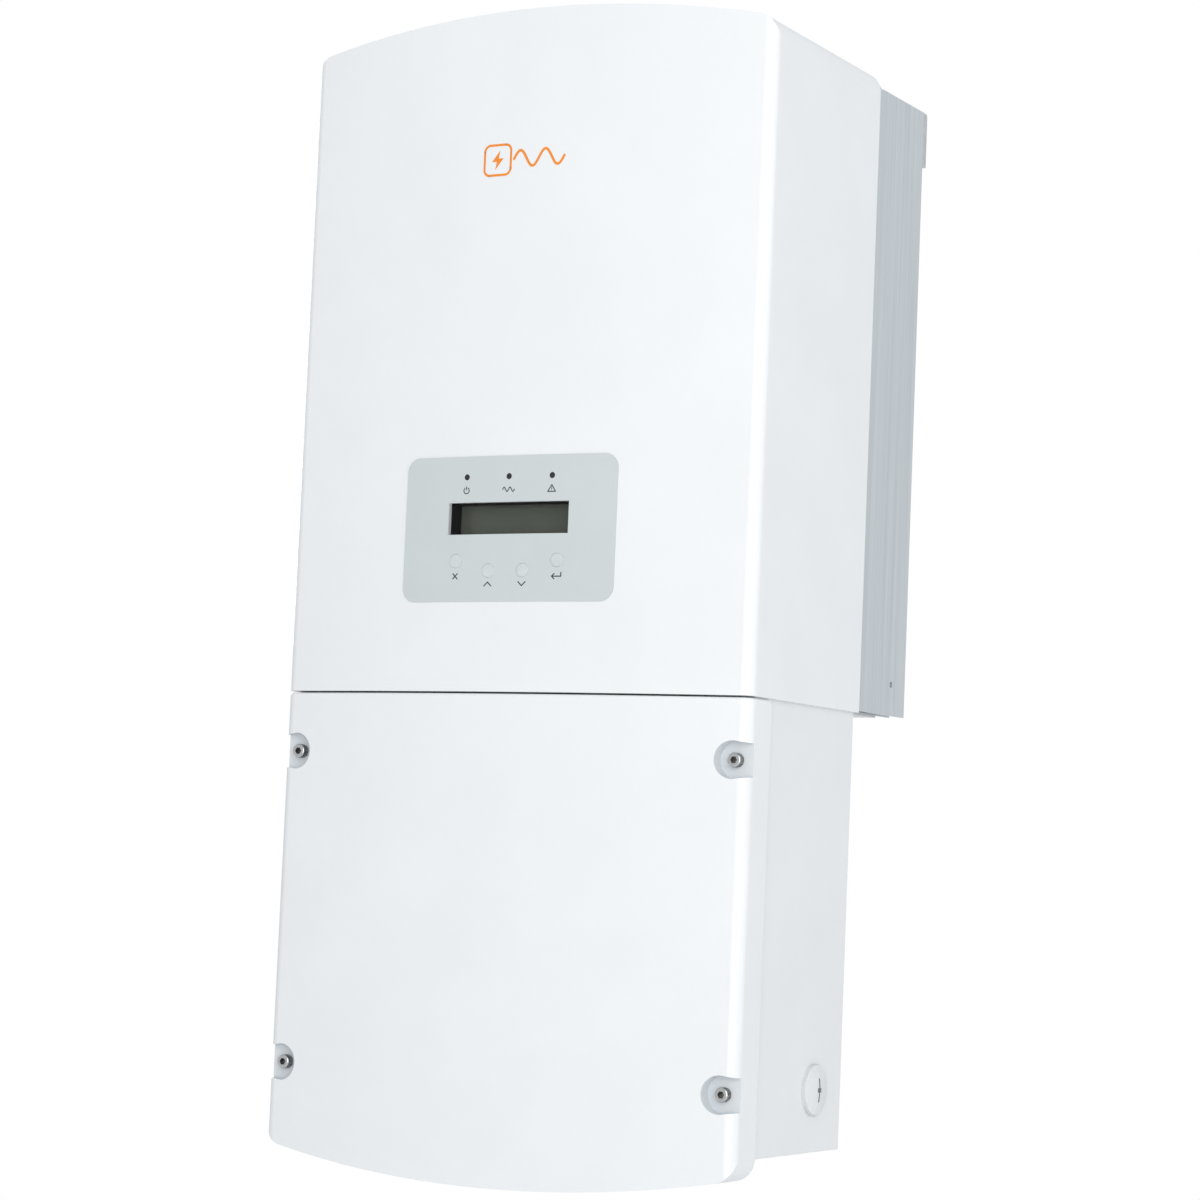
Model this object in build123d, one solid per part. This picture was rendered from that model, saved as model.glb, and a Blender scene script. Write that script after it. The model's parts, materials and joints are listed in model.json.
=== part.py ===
from build123d import *
import math
import os

# A string inverter for a roof's solar panels, hung on a wall bracket. Everything is in millimetres.
# X points to the right of someone who faces the inverter, Y points back to the wall, Z points up.
# The origin is the centre of the wall bracket's four bolt holes, on the wall's face.

PAST = 1.0                    # a cut runs this far past the faces it opens
M4_R = 2.0
M5_R = 2.5
SHEET_SCREW_TIP = 0.2         # a screw's end is chamfered by this share of its radius
SOCKET_SHARE = 0.8            # a hexagon socket takes this share of the head's height

# ---- Casing ----------------------------------------------------------------------------------
WIDTH = 333.0
HALF_WIDTH = WIDTH / 2
BOW = 12.0                    # the front's middle stands this far ahead of its upright edges
ARCH_RISE = 16.5              # the top and bottom arches' middle, beyond their ends
UPRIGHT_CORNER_R = 8.0        # front corners, seen from above
ARCH_CORNER_R = 14.0          # ends of the arches, seen from the front
SKIN = 2.5                    # casing thickness

FRONT_Y = -250.0              # where the front and the sides would meet with no rounding
CROWN_Y = FRONT_Y - BOW
COVER_SIDE_REAR_Y = FRONT_Y + 30.0
UPPER_REAR_Y = FRONT_Y + 156.0
FIN_TIP_Y = FRONT_Y + 231.5

SEAM_Z = -334.5               # middle of the gap between the two casings
SEAM_GAP = 1.1
UPPER_BOTTOM_Z = SEAM_Z + SEAM_GAP / 2
COVER_TOP_Z = SEAM_Z - SEAM_GAP / 2
TOP_CROWN_Z = SEAM_Z + 430.5
COVER_CROWN_Z = SEAM_Z - 302.2

BOW_R = (HALF_WIDTH**2 + BOW**2) / (2 * BOW)
BOW_CENTRE_Y = CROWN_Y + BOW_R
ARCH_R = (HALF_WIDTH**2 + ARCH_RISE**2) / (2 * ARCH_RISE)

# ---- Heatsink --------------------------------------------------------------------------------
SINK_HALF_WIDTH = 164.5
SINK_BOTTOM_Z = SEAM_Z + 2.0
SINK_TOP_Z = SEAM_Z + 407.0
SINK_BASE = 8.0
FIN_COUNT = 33
FIN_THICKNESS = 2.0
RIB_THICKNESS = 9.0           # two thicker fins take the hanger's screws
RIB_FINS = (6, 26)
FIN_PITCH = (2 * SINK_HALF_WIDTH - FIN_THICKNESS) / (FIN_COUNT - 1)
SINK_REAR_Y = UPPER_REAR_Y + SINK_BASE
GROUND_Y = FRONT_Y + 209.3    # M5 earthing hole in the right-hand fin
GROUND_Z = SINK_BOTTOM_Z + 20.3
GROUND_HOLE_R = 2.1
GROUND_DEPTH = 11.0
GROUND_BOSS_R = 7.0
HANGER_HOLE_DEPTH = 14.0
BRACKET_HOLE_DEPTH = 12.0

# ---- Wiring box ------------------------------------------------------------------------------
BOX_HALF_WIDTH = 163.5
BOX_WALL = 2.0
BOX_FRONT_Y = -237.8
BOX_REAR_Y = UPPER_REAR_Y - 1.5
BOX_TOP_Z = UPPER_BOTTOM_Z
BOX_BOTTOM_Z = SEAM_Z - 275.0
BOX_FLANGE = 20.0
BOX_CORNER_R = 1.0
BOX_INNER_X = BOX_HALF_WIDTH - BOX_WALL
BOX_INNER_TOP = BOX_TOP_Z - BOX_WALL
BOX_INNER_BOTTOM = BOX_BOTTOM_Z + BOX_WALL
BOX_INNER_REAR = BOX_REAR_Y - BOX_WALL
SEAL_Y = BOX_FRONT_Y - 3.2    # back face of the cover's rib and of its screw pockets

# ---- Cover screws ----------------------------------------------------------------------------
SCREW_X = 156.15
SCREW_HEIGHTS = {"upper": SEAM_Z - 37.9, "lower": SEAM_Z - 235.9}
POCKET_R = 11.5
POCKET_TAPER = 1.5            # the pocket narrows by this above and below, towards its open side
POCKET_FLOOR_Y = FRONT_Y + 6.6
SHANK_R = 2.5
SCREW_HEAD_R = 4.4
SCREW_HEAD = 4.8
SCREW_SOCKET = 4.0            # across the flats
SCREW_EDGE_R = 0.9
SCREW_LENGTH = 20.0
FIT_CLEARANCE = 0.05

# ---- Display ---------------------------------------------------------------------------------
PANEL_WIDTH = 151.0
PANEL_HEIGHT = 91.0
PANEL_CORNER_R = 9.0
PANEL_Z = SEAM_Z + 101.9
FILM = 0.6
LCD_WIDTH = 86.0
LCD_HEIGHT = 20.0
LCD_Z = SEAM_Z + 108.4
LCD_DEPTH = 15.5              # the glass lies this far behind the panel
LED_Z = SEAM_Z + 134.4
LED_XS = (-30.6, 0.0, 30.6)
LED_R = 1.9
BUTTONS = {
    "escape": (-36.3, SEAM_Z + 81.8),
    "up": (-12.2, SEAM_Z + 75.7),
    "down": (12.2, SEAM_Z + 75.7),
    "enter": (36.3, SEAM_Z + 81.8),
}
BUTTON_R = 4.3
BUTTON_GAP = 0.08
BUTTON_PROUD = 0.4
BUTTON_TRAVEL = 0.8
SWITCH_HEIGHT = 5.0           # each button's contact switch, ahead of the display board
DISPLAY_BOARD_Y = -236.0      # front face of the display's circuit board
BOARD = 1.6                   # circuit board thickness

# ---- Boards and cabling ----------------------------------------------------------------------
POWER_BOARD_Y = -126.0        # front face of the power board
CONTROL_BOARD_Y = -204.0      # front face of the control board
CONTROL_BOARD_Z = (-150.0, -30.0)
PLATE_FRONT_Y = -103.0        # front face of the terminal mounting plate
WIRE_R = 3.0
GROMMET_R = 8.0
GROMMET_LIP = 2.0
DC_XS = (-153.0, -136.0, -119.0, -102.0)
AC_XS = (92.0, 109.0, 126.0)
GROUND_WIRE_X = 60.0
COMM_CABLE_X = 0.0
COMM_CABLE_Y = CONTROL_BOARD_Y + 12.0
WIRE_Y = -170.0               # the wires climb through the box's roof in this plane
WIRE_TOP_Z = -285.0
EARTH_WIRE_Z = -315.0          # the earth wire turns back to the heatsink below the power board

# ---- Conduit entries -------------------------------------------------------------------------
CONDUIT_HOLE_R = 14.1         # 3/4 inch trade size
PLUG_SEAL_R = 16.0
PLUG_CAP_R = 15.4
SIDE_PLUG_Y = FRONT_Y + 112.4
SIDE_PLUG_Z = SEAM_Z - 236.3
BOTTOM_ENTRY_Y = -160.0
OPEN_ENTRY_XS = (-90.0, 90.0)
PLUGGED_ENTRY_XS = (-30.0, 30.0)

# ---- Disconnect switch on the left side ------------------------------------------------------
SWITCH_Y = -170.0
SWITCH_Z = -425.0
SWITCH_SHAFT_R = 4.0

# ---- Wall bracket and hanger -----------------------------------------------------------------
BOLT_X = 100.0
BOLT_Z = 15.0
BOLT_R = 4.5
BRACKET_HALF_WIDTH = 150.0
HANGER_HALF_WIDTH = 161.5
BRACKET_PLATE = 2.5
SHELF_Z = 35.0
LIP_TOP_Z = 49.0
LIP_Y = -13.3
HOOK_Y = -8.5                 # front face of the hanger's hook
HANGER_CHEEK = 2.5            # thickness of the hook's closed ends
HANGER_ACCESS_R = 7.0         # holes in the hook for the driver
BRACKET_PLATE_Z = (-35.0, 70.0)
HOOK_BOTTOM_Z = SHELF_Z + BRACKET_PLATE + 0.3
HANGER_TOP_Z = SEAM_Z + 408.5
HANGER_BOTTOM_Z = -20.0
HANGER_SCREW_HEIGHTS = (-8.0, 61.0)


# ---- Simple solids ---------------------------------------------------------------------------
def block(x, y, z):
    """A cuboid from three (low, high) pairs."""
    spans = (x, y, z)
    centre = [(low + high) / 2 for low, high in spans]
    size = [high - low for low, high in spans]
    return Pos(*centre) * Box(*size)


def rod_x(y, z, radius, start, end):
    return Pos((start + end) / 2, y, z) * Rot(0, 90, 0) * Cylinder(radius, end - start)


def rod_y(x, z, radius, start, end):
    return Pos(x, (start + end) / 2, z) * Rot(90, 0, 0) * Cylinder(radius, end - start)


def rod_z(x, y, radius, start, end):
    return Pos(x, y, (start + end) / 2) * Cylinder(radius, end - start)


def joined(shapes):
    """One shape from several, touching or not."""
    shapes = list(shapes)
    return shapes[0] + shapes[1:]


def screw(shank_r, length, head_r, head_height, socket_width, dome):
    """A socket screw along Z: its head stands on Z = 0 and its shank goes down."""
    head = Pos(0, 0, head_height / 2) * Cylinder(head_r, head_height)
    head = fillet(head.edges().filter_by(GeomType.CIRCLE).sort_by(Axis.Z)[-1], dome)
    shank = Pos(0, 0, -length / 2) * Cylinder(shank_r, length)
    shank = chamfer(shank.edges().filter_by(GeomType.CIRCLE).sort_by(Axis.Z)[0], shank_r * SHEET_SCREW_TIP)
    socket = RegularPolygon(socket_width / 2, 6, major_radius=False)
    socket_depth = head_height * SOCKET_SHARE
    recess = extrude(Pos(0, 0, head_height - socket_depth) * socket, amount=head_height)
    return head + shank - recess


def wire(points, bend_r, radius=WIRE_R):
    """A round wire along straight runs joined by arcs."""
    path = FilletPolyline(*points, radius=bend_r) if len(points) > 2 else Line(*points)
    section = Plane(origin=path @ 0, z_dir=path % 0) * Circle(radius)
    return sweep(section, path=path)


# ---- The casing's outlines -------------------------------------------------------------------
def front_y(x, inset=0.0):
    """Y of the bowed front at this x, or of a surface that lies inset behind it."""
    return BOW_CENTRE_Y - math.sqrt((BOW_R - inset) ** 2 - x**2)


def plan_outline(inset, rear_y):
    """The casing seen from above: bowed front, rounded corners, straight sides."""
    half = HALF_WIDTH - inset
    edge_y = front_y(half, inset)
    front = ThreePointArc((-half, edge_y), (0, CROWN_Y + inset), (half, edge_y))
    sides = Polyline((half, edge_y), (half, rear_y), (-half, rear_y), (-half, edge_y))
    outline = make_face(front + sides)
    corners = outline.vertices().sort_by(Axis.Y)[:2]
    return fillet(corners, max(UPRIGHT_CORNER_R - inset, 1.0))


def elevation_outline(inset, flat_z, crown_z, upward):
    """The casing seen from the front: one flat edge at flat_z, one arched edge, up or down."""
    half = HALF_WIDTH - inset
    side = 1 if upward else -1
    radius = ARCH_R - inset
    centre_z = crown_z - side * ARCH_R
    corner_z = centre_z + side * math.sqrt(radius**2 - half**2)
    arch = ThreePointArc((-half, corner_z), (0, centre_z + side * radius), (half, corner_z))
    sides = Polyline((half, corner_z), (half, flat_z), (-half, flat_z), (-half, corner_z))
    outline = make_face(arch + sides)
    by_height = outline.vertices().sort_by(Axis.Y)
    corners = by_height[2:] if upward else by_height[:2]
    return Plane.XZ * fillet(corners, max(ARCH_CORNER_R - inset, 1.0))


def casing_block(inset, rear_y, elevation):
    """The solid inside both outlines."""
    bounds = elevation.bounding_box()
    height = bounds.max.Z - bounds.min.Z
    plan = extrude(Pos(0, 0, bounds.min.Z) * plan_outline(inset, rear_y), amount=height)
    return plan & extrude(elevation, amount=2 * HALF_WIDTH, both=True)


def bowed_sheet(outline, near, far):
    """The part of a front-view outline between two surfaces that follow the bow."""
    depth = 30.0
    core = extrude(Plane.XZ.offset(-CROWN_Y) * outline, amount=depth, both=True)
    centre = Pos(0, BOW_CENTRE_Y, PANEL_Z)
    ring = centre * (Cylinder(BOW_R - near, WIDTH) - Cylinder(BOW_R - far, WIDTH))
    return core & ring


# ---- Upper casing ----------------------------------------------------------------------------
def all_button_holes(radius, near_y, far_y):
    return joined(rod_y(x, z, radius, near_y, far_y) for x, z in BUTTONS.values())


def all_led_holes(radius, near_y, far_y):
    return joined(rod_y(x, LED_Z, radius, near_y, far_y) for x in LED_XS)


def wire_entries():
    """(x, y) of each wire that passes from the wiring box into the upper casing."""
    power = [(x, WIRE_Y) for x in DC_XS + AC_XS + (GROUND_WIRE_X,)]
    return power + [(COMM_CABLE_X, COMM_CABLE_Y)]


SHELL_HOLE_R = GROMMET_R - 1.5
FLANGE_DEPTH = 2.5
FLANGE_WIDTH = 12.0
UPPER_SEAL = 1.5
UPPER_SEAL_WIDTH = 3.0
UPPER_SCREW_FINS = (2, 9, 16, 23, 30)    # a screw lies in the gap after each of these fins
UPPER_SCREW_INSET = 8.5       # from the casing's edge to the screws along it
SIDE_SCREW_OFFSET = 80.0      # of the side screws, above and below the heatsink's middle
UPPER_BOSS_R = 4.0
UPPER_BOSS = 6.0
UPPER_BOSS_HOLE = 9.0
DISPLAY_POST_R = 3.5
FRONT_CUT = (CROWN_Y - 5.0, CROWN_Y + 10.0)    # Y span of a cut through the front's skin


def upper_screw_places():
    """(x, z) of the screws that close the upper casing, through the heatsink's base."""
    low_z = SINK_BOTTOM_Z + UPPER_SCREW_INSET
    middle_z = (SINK_BOTTOM_Z + SINK_TOP_Z) / 2
    side_x = BOX_HALF_WIDTH - FIN_PITCH / 2
    places = []
    for fin in UPPER_SCREW_FINS:
        x = fin_x(fin) + FIN_PITCH / 2
        arch_drop = ARCH_R - math.sqrt(ARCH_R**2 - x**2)
        places += [(x, low_z), (x, TOP_CROWN_Z - arch_drop - UPPER_SCREW_INSET)]
    for x in (-side_x, side_x):
        places += [(x, middle_z - SIDE_SCREW_OFFSET), (x, middle_z + SIDE_SCREW_OFFSET)]
    return places


def upper_cover():
    outer = casing_block(0, UPPER_REAR_Y, elevation_outline(0, UPPER_BOTTOM_Z, TOP_CROWN_Z, True))
    inner_view = elevation_outline(SKIN, UPPER_BOTTOM_Z + SKIN, TOP_CROWN_Z, True)
    cover = outer - casing_block(SKIN, UPPER_REAR_Y + 5, inner_view)

    flange_y = UPPER_REAR_Y - UPPER_SEAL
    flange_outer = elevation_outline(1, UPPER_BOTTOM_Z + 1, TOP_CROWN_Z, True)
    flange_inner = elevation_outline(SKIN + FLANGE_WIDTH, UPPER_BOTTOM_Z + SKIN + FLANGE_WIDTH,
                                     TOP_CROWN_Z, True)
    flange = Pos(0, flange_y, 0) * extrude(flange_outer - flange_inner, amount=FLANGE_DEPTH)
    cover += flange
    flange_front_y = flange_y - FLANGE_DEPTH
    for x, z in upper_screw_places():
        cover += rod_y(x, z, UPPER_BOSS_R, flange_front_y - UPPER_BOSS, flange_front_y)
        cover -= rod_y(x, z, M4_R + FIT_CLEARANCE, flange_front_y - UPPER_BOSS_HOLE, UPPER_REAR_Y)

    window = block((-LCD_WIDTH / 2, LCD_WIDTH / 2), FRONT_CUT,
                   (LCD_Z - LCD_HEIGHT / 2, LCD_Z + LCD_HEIGHT / 2))
    cover -= window
    cover -= all_button_holes(BUTTON_R + BUTTON_GAP, *FRONT_CUT)
    cover -= all_led_holes(LED_R + FIT_CLEARANCE, *FRONT_CUT)

    within = casing_block(1, UPPER_REAR_Y, elevation_outline(1, UPPER_BOTTOM_Z, TOP_CROWN_Z, True))
    for x, z in display_post_places():
        cover += rod_y(x, z, DISPLAY_POST_R, CROWN_Y, DISPLAY_BOARD_Y) & within
    for x, y in wire_entries():
        cover -= rod_z(x, y, SHELL_HOLE_R, UPPER_BOTTOM_Z - PAST, UPPER_BOTTOM_Z + SKIN + PAST)
    return cover


def upper_gasket():
    outer = elevation_outline(SKIN, UPPER_BOTTOM_Z + SKIN, TOP_CROWN_Z, True)
    inset = SKIN + UPPER_SEAL_WIDTH
    inner = elevation_outline(inset, UPPER_BOTTOM_Z + inset, TOP_CROWN_Z, True)
    return Pos(0, UPPER_REAR_Y, 0) * extrude(outer - inner, amount=UPPER_SEAL)


def upper_cover_screws():
    fastener = screw(M4_R, 16.0, 3.5, 2.2, 2.5, 1.2)
    return joined(Pos(x, SINK_REAR_Y, z) * Rot(-90, 0, 0) * fastener for x, z in upper_screw_places())


# ---- Heatsink --------------------------------------------------------------------------------
def fin_x(index):
    return -SINK_HALF_WIDTH + FIN_THICKNESS / 2 + index * FIN_PITCH


def heatsink():
    inset = HALF_WIDTH - SINK_HALF_WIDTH
    view = elevation_outline(inset, SINK_BOTTOM_Z, TOP_CROWN_Z, True)
    sink = Pos(0, SINK_REAR_Y, 0) * extrude(view, amount=SINK_BASE)

    fins = Sketch()
    for index in range(FIN_COUNT):
        thickness = RIB_THICKNESS if index in RIB_FINS else FIN_THICKNESS
        depth = FIN_TIP_Y - SINK_REAR_Y
        fins += Pos(fin_x(index), SINK_REAR_Y + depth / 2) * Rectangle(thickness, depth)
    sink += extrude(Pos(0, 0, SINK_BOTTOM_Z) * fins, amount=SINK_TOP_Z - SINK_BOTTOM_Z)

    sink += rod_x(GROUND_Y, GROUND_Z, GROUND_BOSS_R, fin_x(FIN_COUNT - 2), SINK_HALF_WIDTH)
    sink -= rod_x(GROUND_Y, GROUND_Z, GROUND_HOLE_R, SINK_HALF_WIDTH - GROUND_DEPTH, SINK_HALF_WIDTH + PAST)
    for x, z in upper_screw_places():
        sink -= rod_y(x, z, M4_R + FIT_CLEARANCE, UPPER_REAR_Y - PAST, SINK_REAR_Y + PAST)
    for x, z in hanger_screw_places():
        sink -= rod_y(x, z, M5_R + FIT_CLEARANCE, FIN_TIP_Y - HANGER_HOLE_DEPTH, FIN_TIP_Y + PAST)
    for x, y in bracket_leg_screw_places():
        sink -= rod_z(x, y, M5_R + FIT_CLEARANCE, SINK_BOTTOM_Z - PAST, SINK_BOTTOM_Z + BRACKET_HOLE_DEPTH)
    return sink


# ---- Power electronics -----------------------------------------------------------------------
POWER_BOARD_X = (-150.0, 150.0)
POWER_BOARD_Z = (-310.0, 10.0)
POST_WIDTH = 7.0              # across the flats of the hexagonal spacers
POWER_POST_HOLE_R = 2.2
MODULE_PLACES = ((-95.0, -60.0), (-95.0, -170.0), (80.0, -120.0))
MODULE_HALF_WIDTH = 31.0
MODULE_HALF_HEIGHT = 21.0
MODULE_DEPTH = 17.0
MODULE_PIN_XS = (-26.0, -13.0, 0.0, 13.0, 26.0)
MODULE_PIN_ZS = (-17.0, 17.0)
CAPACITOR_R = 17.5
CAPACITOR_HEIGHT = 50.0
CAPACITOR_WAIST = (4.0, 6.0)  # the crimp's span above the board
INDUCTOR_HALF_WIDTH = 37.0
INDUCTOR_DEPTH = 82.0
INDUCTOR_Z = (18.0, 66.0)
INDUCTOR_SLOT = 4.0
BOOST_INDUCTOR_XS = (-115.0, -35.0)
OUTPUT_INDUCTOR_X = 80.0
CHOKE_R = 19.0
CHOKE_WINDING_R = 8.0
CHOKE_BASE = 4.0
RELAY_HALF_WIDTH = 8.0
RELAY_DEPTH = 24.0
RELAY_Z = (-55.0, -25.0)
SENSOR_HALF_WIDTH = 10.0
SENSOR_DEPTH = 22.0
SENSOR_Z = (-110.0, -98.0)
SENSOR_WINDOW_HALF_WIDTH = 4.0
SENSOR_WINDOW = (9.0, 17.0)   # the window's span above the board
CAPACITOR_XS = (-114.0, -74.0, -34.0, 6.0)
CAPACITOR_ZS = (-20.0, -60.0)
CHOKE_PLACES = ((-105.0, -225.0), (100.0, -225.0))
RELAY_XS = (60.0, 82.0, 104.0, 126.0)
SENSOR_XS = (75.0, 110.0)


def power_board():
    board = block(POWER_BOARD_X, (POWER_BOARD_Y, POWER_BOARD_Y + BOARD), POWER_BOARD_Z)
    for x, z in power_post_places():
        board -= rod_y(x, z, POWER_POST_HOLE_R, POWER_BOARD_Y - PAST, POWER_BOARD_Y + BOARD + PAST)
    return board


def power_post_places():
    return [(x, z) for x in (-140.0, 0.0, 140.0) for z in (-296.0, -150.0, 2.0)]


def hex_post(x, z, start, end):
    post = RegularPolygon(POST_WIDTH / 2, 6, major_radius=False)
    return Pos(x, end, z) * extrude(Plane.XZ * post, amount=end - start)


def board_standoffs():
    """Hexagonal spacers under the power, control and communication boards."""
    posts = [hex_post(x, z, POWER_BOARD_Y + BOARD, UPPER_REAR_Y) for x, z in power_post_places()]
    for x, z in control_post_places():
        posts.append(hex_post(x, z, CONTROL_BOARD_Y + BOARD, POWER_BOARD_Y))
    for x, z in comm_post_places():
        posts.append(hex_post(x, z, COMM_BOARD_Y + BOARD, PLATE_FRONT_Y))
    return joined(posts)


def power_modules():
    """Transistor modules, clamped between the power board and the heatsink."""
    modules = []
    for x, z in MODULE_PLACES:
        front = UPPER_REAR_Y - MODULE_DEPTH
        body = block((x - MODULE_HALF_WIDTH, x + MODULE_HALF_WIDTH), (front, UPPER_REAR_Y),
                     (z - MODULE_HALF_HEIGHT, z + MODULE_HALF_HEIGHT))
        body = fillet(body.edges().filter_by(Axis.Y), 3)
        for pin_x in MODULE_PIN_XS:
            for pin_z in MODULE_PIN_ZS:
                body += rod_y(x + pin_x, z + pin_z, 1.0, POWER_BOARD_Y + BOARD, front + 1)
        modules.append(body)
    return joined(modules)


def dc_link_capacitors():
    """Electrolytic cans with a rounded top edge and a crimped waist."""
    cans = []
    for x in CAPACITOR_XS:
        for z in CAPACITOR_ZS:
            can = rod_y(x, z, CAPACITOR_R, POWER_BOARD_Y - CAPACITOR_HEIGHT, POWER_BOARD_Y)
            can = fillet(can.edges().filter_by(GeomType.CIRCLE).sort_by(Axis.Y)[0], 2)
            waist = (POWER_BOARD_Y - CAPACITOR_WAIST[1], POWER_BOARD_Y - CAPACITOR_WAIST[0])
            groove = rod_y(x, z, CAPACITOR_R + 1, *waist) - rod_y(x, z, CAPACITOR_R - 1, *waist)
            cans.append(can - groove)
    return joined(cans)


def potted_inductor(x):
    """A coil potted in a finned aluminium case, standing on the heatsink's base."""
    case = block((x - INDUCTOR_HALF_WIDTH, x + INDUCTOR_HALF_WIDTH),
                 (UPPER_REAR_Y - INDUCTOR_DEPTH, UPPER_REAR_Y), INDUCTOR_Z)
    case = fillet(case.edges().filter_by(Axis.Y), 6)
    top = INDUCTOR_Z[1]
    for offset in range(-24, 25, 12):
        slot_x = x + offset
        case -= block((slot_x - INDUCTOR_SLOT / 2, slot_x + INDUCTOR_SLOT / 2),
                      (UPPER_REAR_Y - INDUCTOR_DEPTH - PAST, UPPER_REAR_Y - 6),
                      (top - INDUCTOR_SLOT, top + PAST))
    return case


def boost_inductors():
    return joined(potted_inductor(x) for x in BOOST_INDUCTOR_XS)


def output_inductor():
    return potted_inductor(OUTPUT_INDUCTOR_X)


def emi_chokes():
    """Ring cores with a winding on each half, standing flat on the power board."""
    chokes = []
    for x, z in CHOKE_PLACES:
        middle = Pos(x, POWER_BOARD_Y - CHOKE_WINDING_R - 1, z)
        ring = middle * Rot(90, 0, 0) * Torus(CHOKE_R, CHOKE_WINDING_R)
        base = rod_y(x, z, CHOKE_R + 1, POWER_BOARD_Y - CHOKE_BASE, POWER_BOARD_Y)
        chokes.append(ring + base)
    return joined(chokes)


def ac_relays():
    relays = []
    for x in RELAY_XS:
        case = block((x - RELAY_HALF_WIDTH, x + RELAY_HALF_WIDTH),
                     (POWER_BOARD_Y - RELAY_DEPTH, POWER_BOARD_Y), RELAY_Z)
        relays.append(fillet(case.edges().filter_by(Axis.Y), 1.5))
    return joined(relays)


def current_sensors():
    """Hall-effect sensors: a block with a window for the conductor."""
    sensors = []
    for x in SENSOR_XS:
        body = block((x - SENSOR_HALF_WIDTH, x + SENSOR_HALF_WIDTH),
                     (POWER_BOARD_Y - SENSOR_DEPTH, POWER_BOARD_Y), SENSOR_Z)
        window = block((x - SENSOR_WINDOW_HALF_WIDTH, x + SENSOR_WINDOW_HALF_WIDTH),
                       (POWER_BOARD_Y - SENSOR_WINDOW[1], POWER_BOARD_Y - SENSOR_WINDOW[0]),
                       (SENSOR_Z[0] - PAST, SENSOR_Z[1] + PAST))
        sensors.append(body - window)
    return joined(sensors)


# ---- Control board and display ---------------------------------------------------------------
CONTROL_BOARD_HALF_WIDTH = 70.0
CONTROL_POST_HOLE_R = 1.7
SOCKET_DEPTH = 9.0            # of the ribbon cable's socket
RIBBON_TOP_Z = -215.0         # where the ribbon cable leaves the display board
RIBBON_HALF_WIDTH = 10.0
DISPLAY_BOARD_HALF_WIDTH = 70.0
DISPLAY_POST_HOLE_R = 1.5
LCD_BEZEL_HALF_WIDTH = 49.0
LCD_BEZEL_HALF_HEIGHT = 15.0
SHROUD_WALL = 1.5
WINDOW_PANE = 1.6
KEY_COLLAR = 1.5              # how far a key's collar stands out, and how thick it is
KEY_EDGE_R = 0.5


def control_post_places():
    return [(x, z) for x in (-54.0, 54.0) for z in (-142.0, -100.0)]


def control_board():
    board = block((-CONTROL_BOARD_HALF_WIDTH, CONTROL_BOARD_HALF_WIDTH),
                  (CONTROL_BOARD_Y, CONTROL_BOARD_Y + BOARD), CONTROL_BOARD_Z)
    for x, z in control_post_places():
        board -= rod_y(x, z, CONTROL_POST_HOLE_R, CONTROL_BOARD_Y - PAST, CONTROL_BOARD_Y + BOARD + PAST)
    return board


def control_components():
    """Processor, supply transformer and connectors, on the front of the control board."""
    low_z, high_z = CONTROL_BOARD_Z
    front = CONTROL_BOARD_Y
    processor = block((-12, 12), (front - 1.6, front), (-98, -74))
    transformer = block((28, 52), (front - 18, front), (-78, -52))
    ribbon_socket = block((-13, 13), (front - SOCKET_DEPTH, front), (low_z + 3, low_z + 9))
    headers = [block((x - 6, x + 6), (front - 8, front), (high_z - 12, high_z - 4))
               for x in (-50, -30, -10, 10)]
    return joined([processor, transformer, ribbon_socket] + headers)


def display_post_places():
    return [(x, PANEL_Z + z) for x in (-62.0, 62.0) for z in (-34.0, 34.0)]


def display_board():
    half_height = PANEL_HEIGHT / 2 - 4
    board = block((-DISPLAY_BOARD_HALF_WIDTH, DISPLAY_BOARD_HALF_WIDTH),
                  (DISPLAY_BOARD_Y, DISPLAY_BOARD_Y + BOARD),
                  (PANEL_Z - half_height, PANEL_Z + half_height))
    for x, z in display_post_places():
        board -= rod_y(x, z, DISPLAY_POST_HOLE_R, DISPLAY_BOARD_Y - PAST, DISPLAY_BOARD_Y + BOARD + PAST)
    return board


def lcd_module():
    face_y = CROWN_Y + LCD_DEPTH
    bezel = block((-LCD_BEZEL_HALF_WIDTH, LCD_BEZEL_HALF_WIDTH), (face_y, DISPLAY_BOARD_Y),
                  (LCD_Z - LCD_BEZEL_HALF_HEIGHT, LCD_Z + LCD_BEZEL_HALF_HEIGHT))
    return fillet(bezel.edges().filter_by(Axis.Y), 1.5)


def lcd_shroud():
    """The black frame that closes the gap between the casing and the display's glass."""
    near_y = front_y(LCD_WIDTH / 2, SKIN) + 0.1
    far_y = CROWN_Y + LCD_DEPTH
    half_x = LCD_WIDTH / 2
    half_z = LCD_HEIGHT / 2
    tube = block((-half_x - SHROUD_WALL, half_x + SHROUD_WALL), (near_y, far_y),
                 (LCD_Z - half_z - SHROUD_WALL, LCD_Z + half_z + SHROUD_WALL))
    return tube - block((-half_x, half_x), (near_y - PAST, far_y + PAST), (LCD_Z - half_z, LCD_Z + half_z))


def lcd_window():
    """Clear window, flush with the casing's front."""
    pane = Pos(0, LCD_Z) * Rectangle(LCD_WIDTH - 0.2, LCD_HEIGHT - 0.2)
    return bowed_sheet(pane, 0.0, WINDOW_PANE)


def led_light_pipes():
    pipes = [rod_y(x, LED_Z, LED_R, front_y(x) - FILM / 2, DISPLAY_BOARD_Y) for x in LED_XS]
    return joined(pipes)


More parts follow.
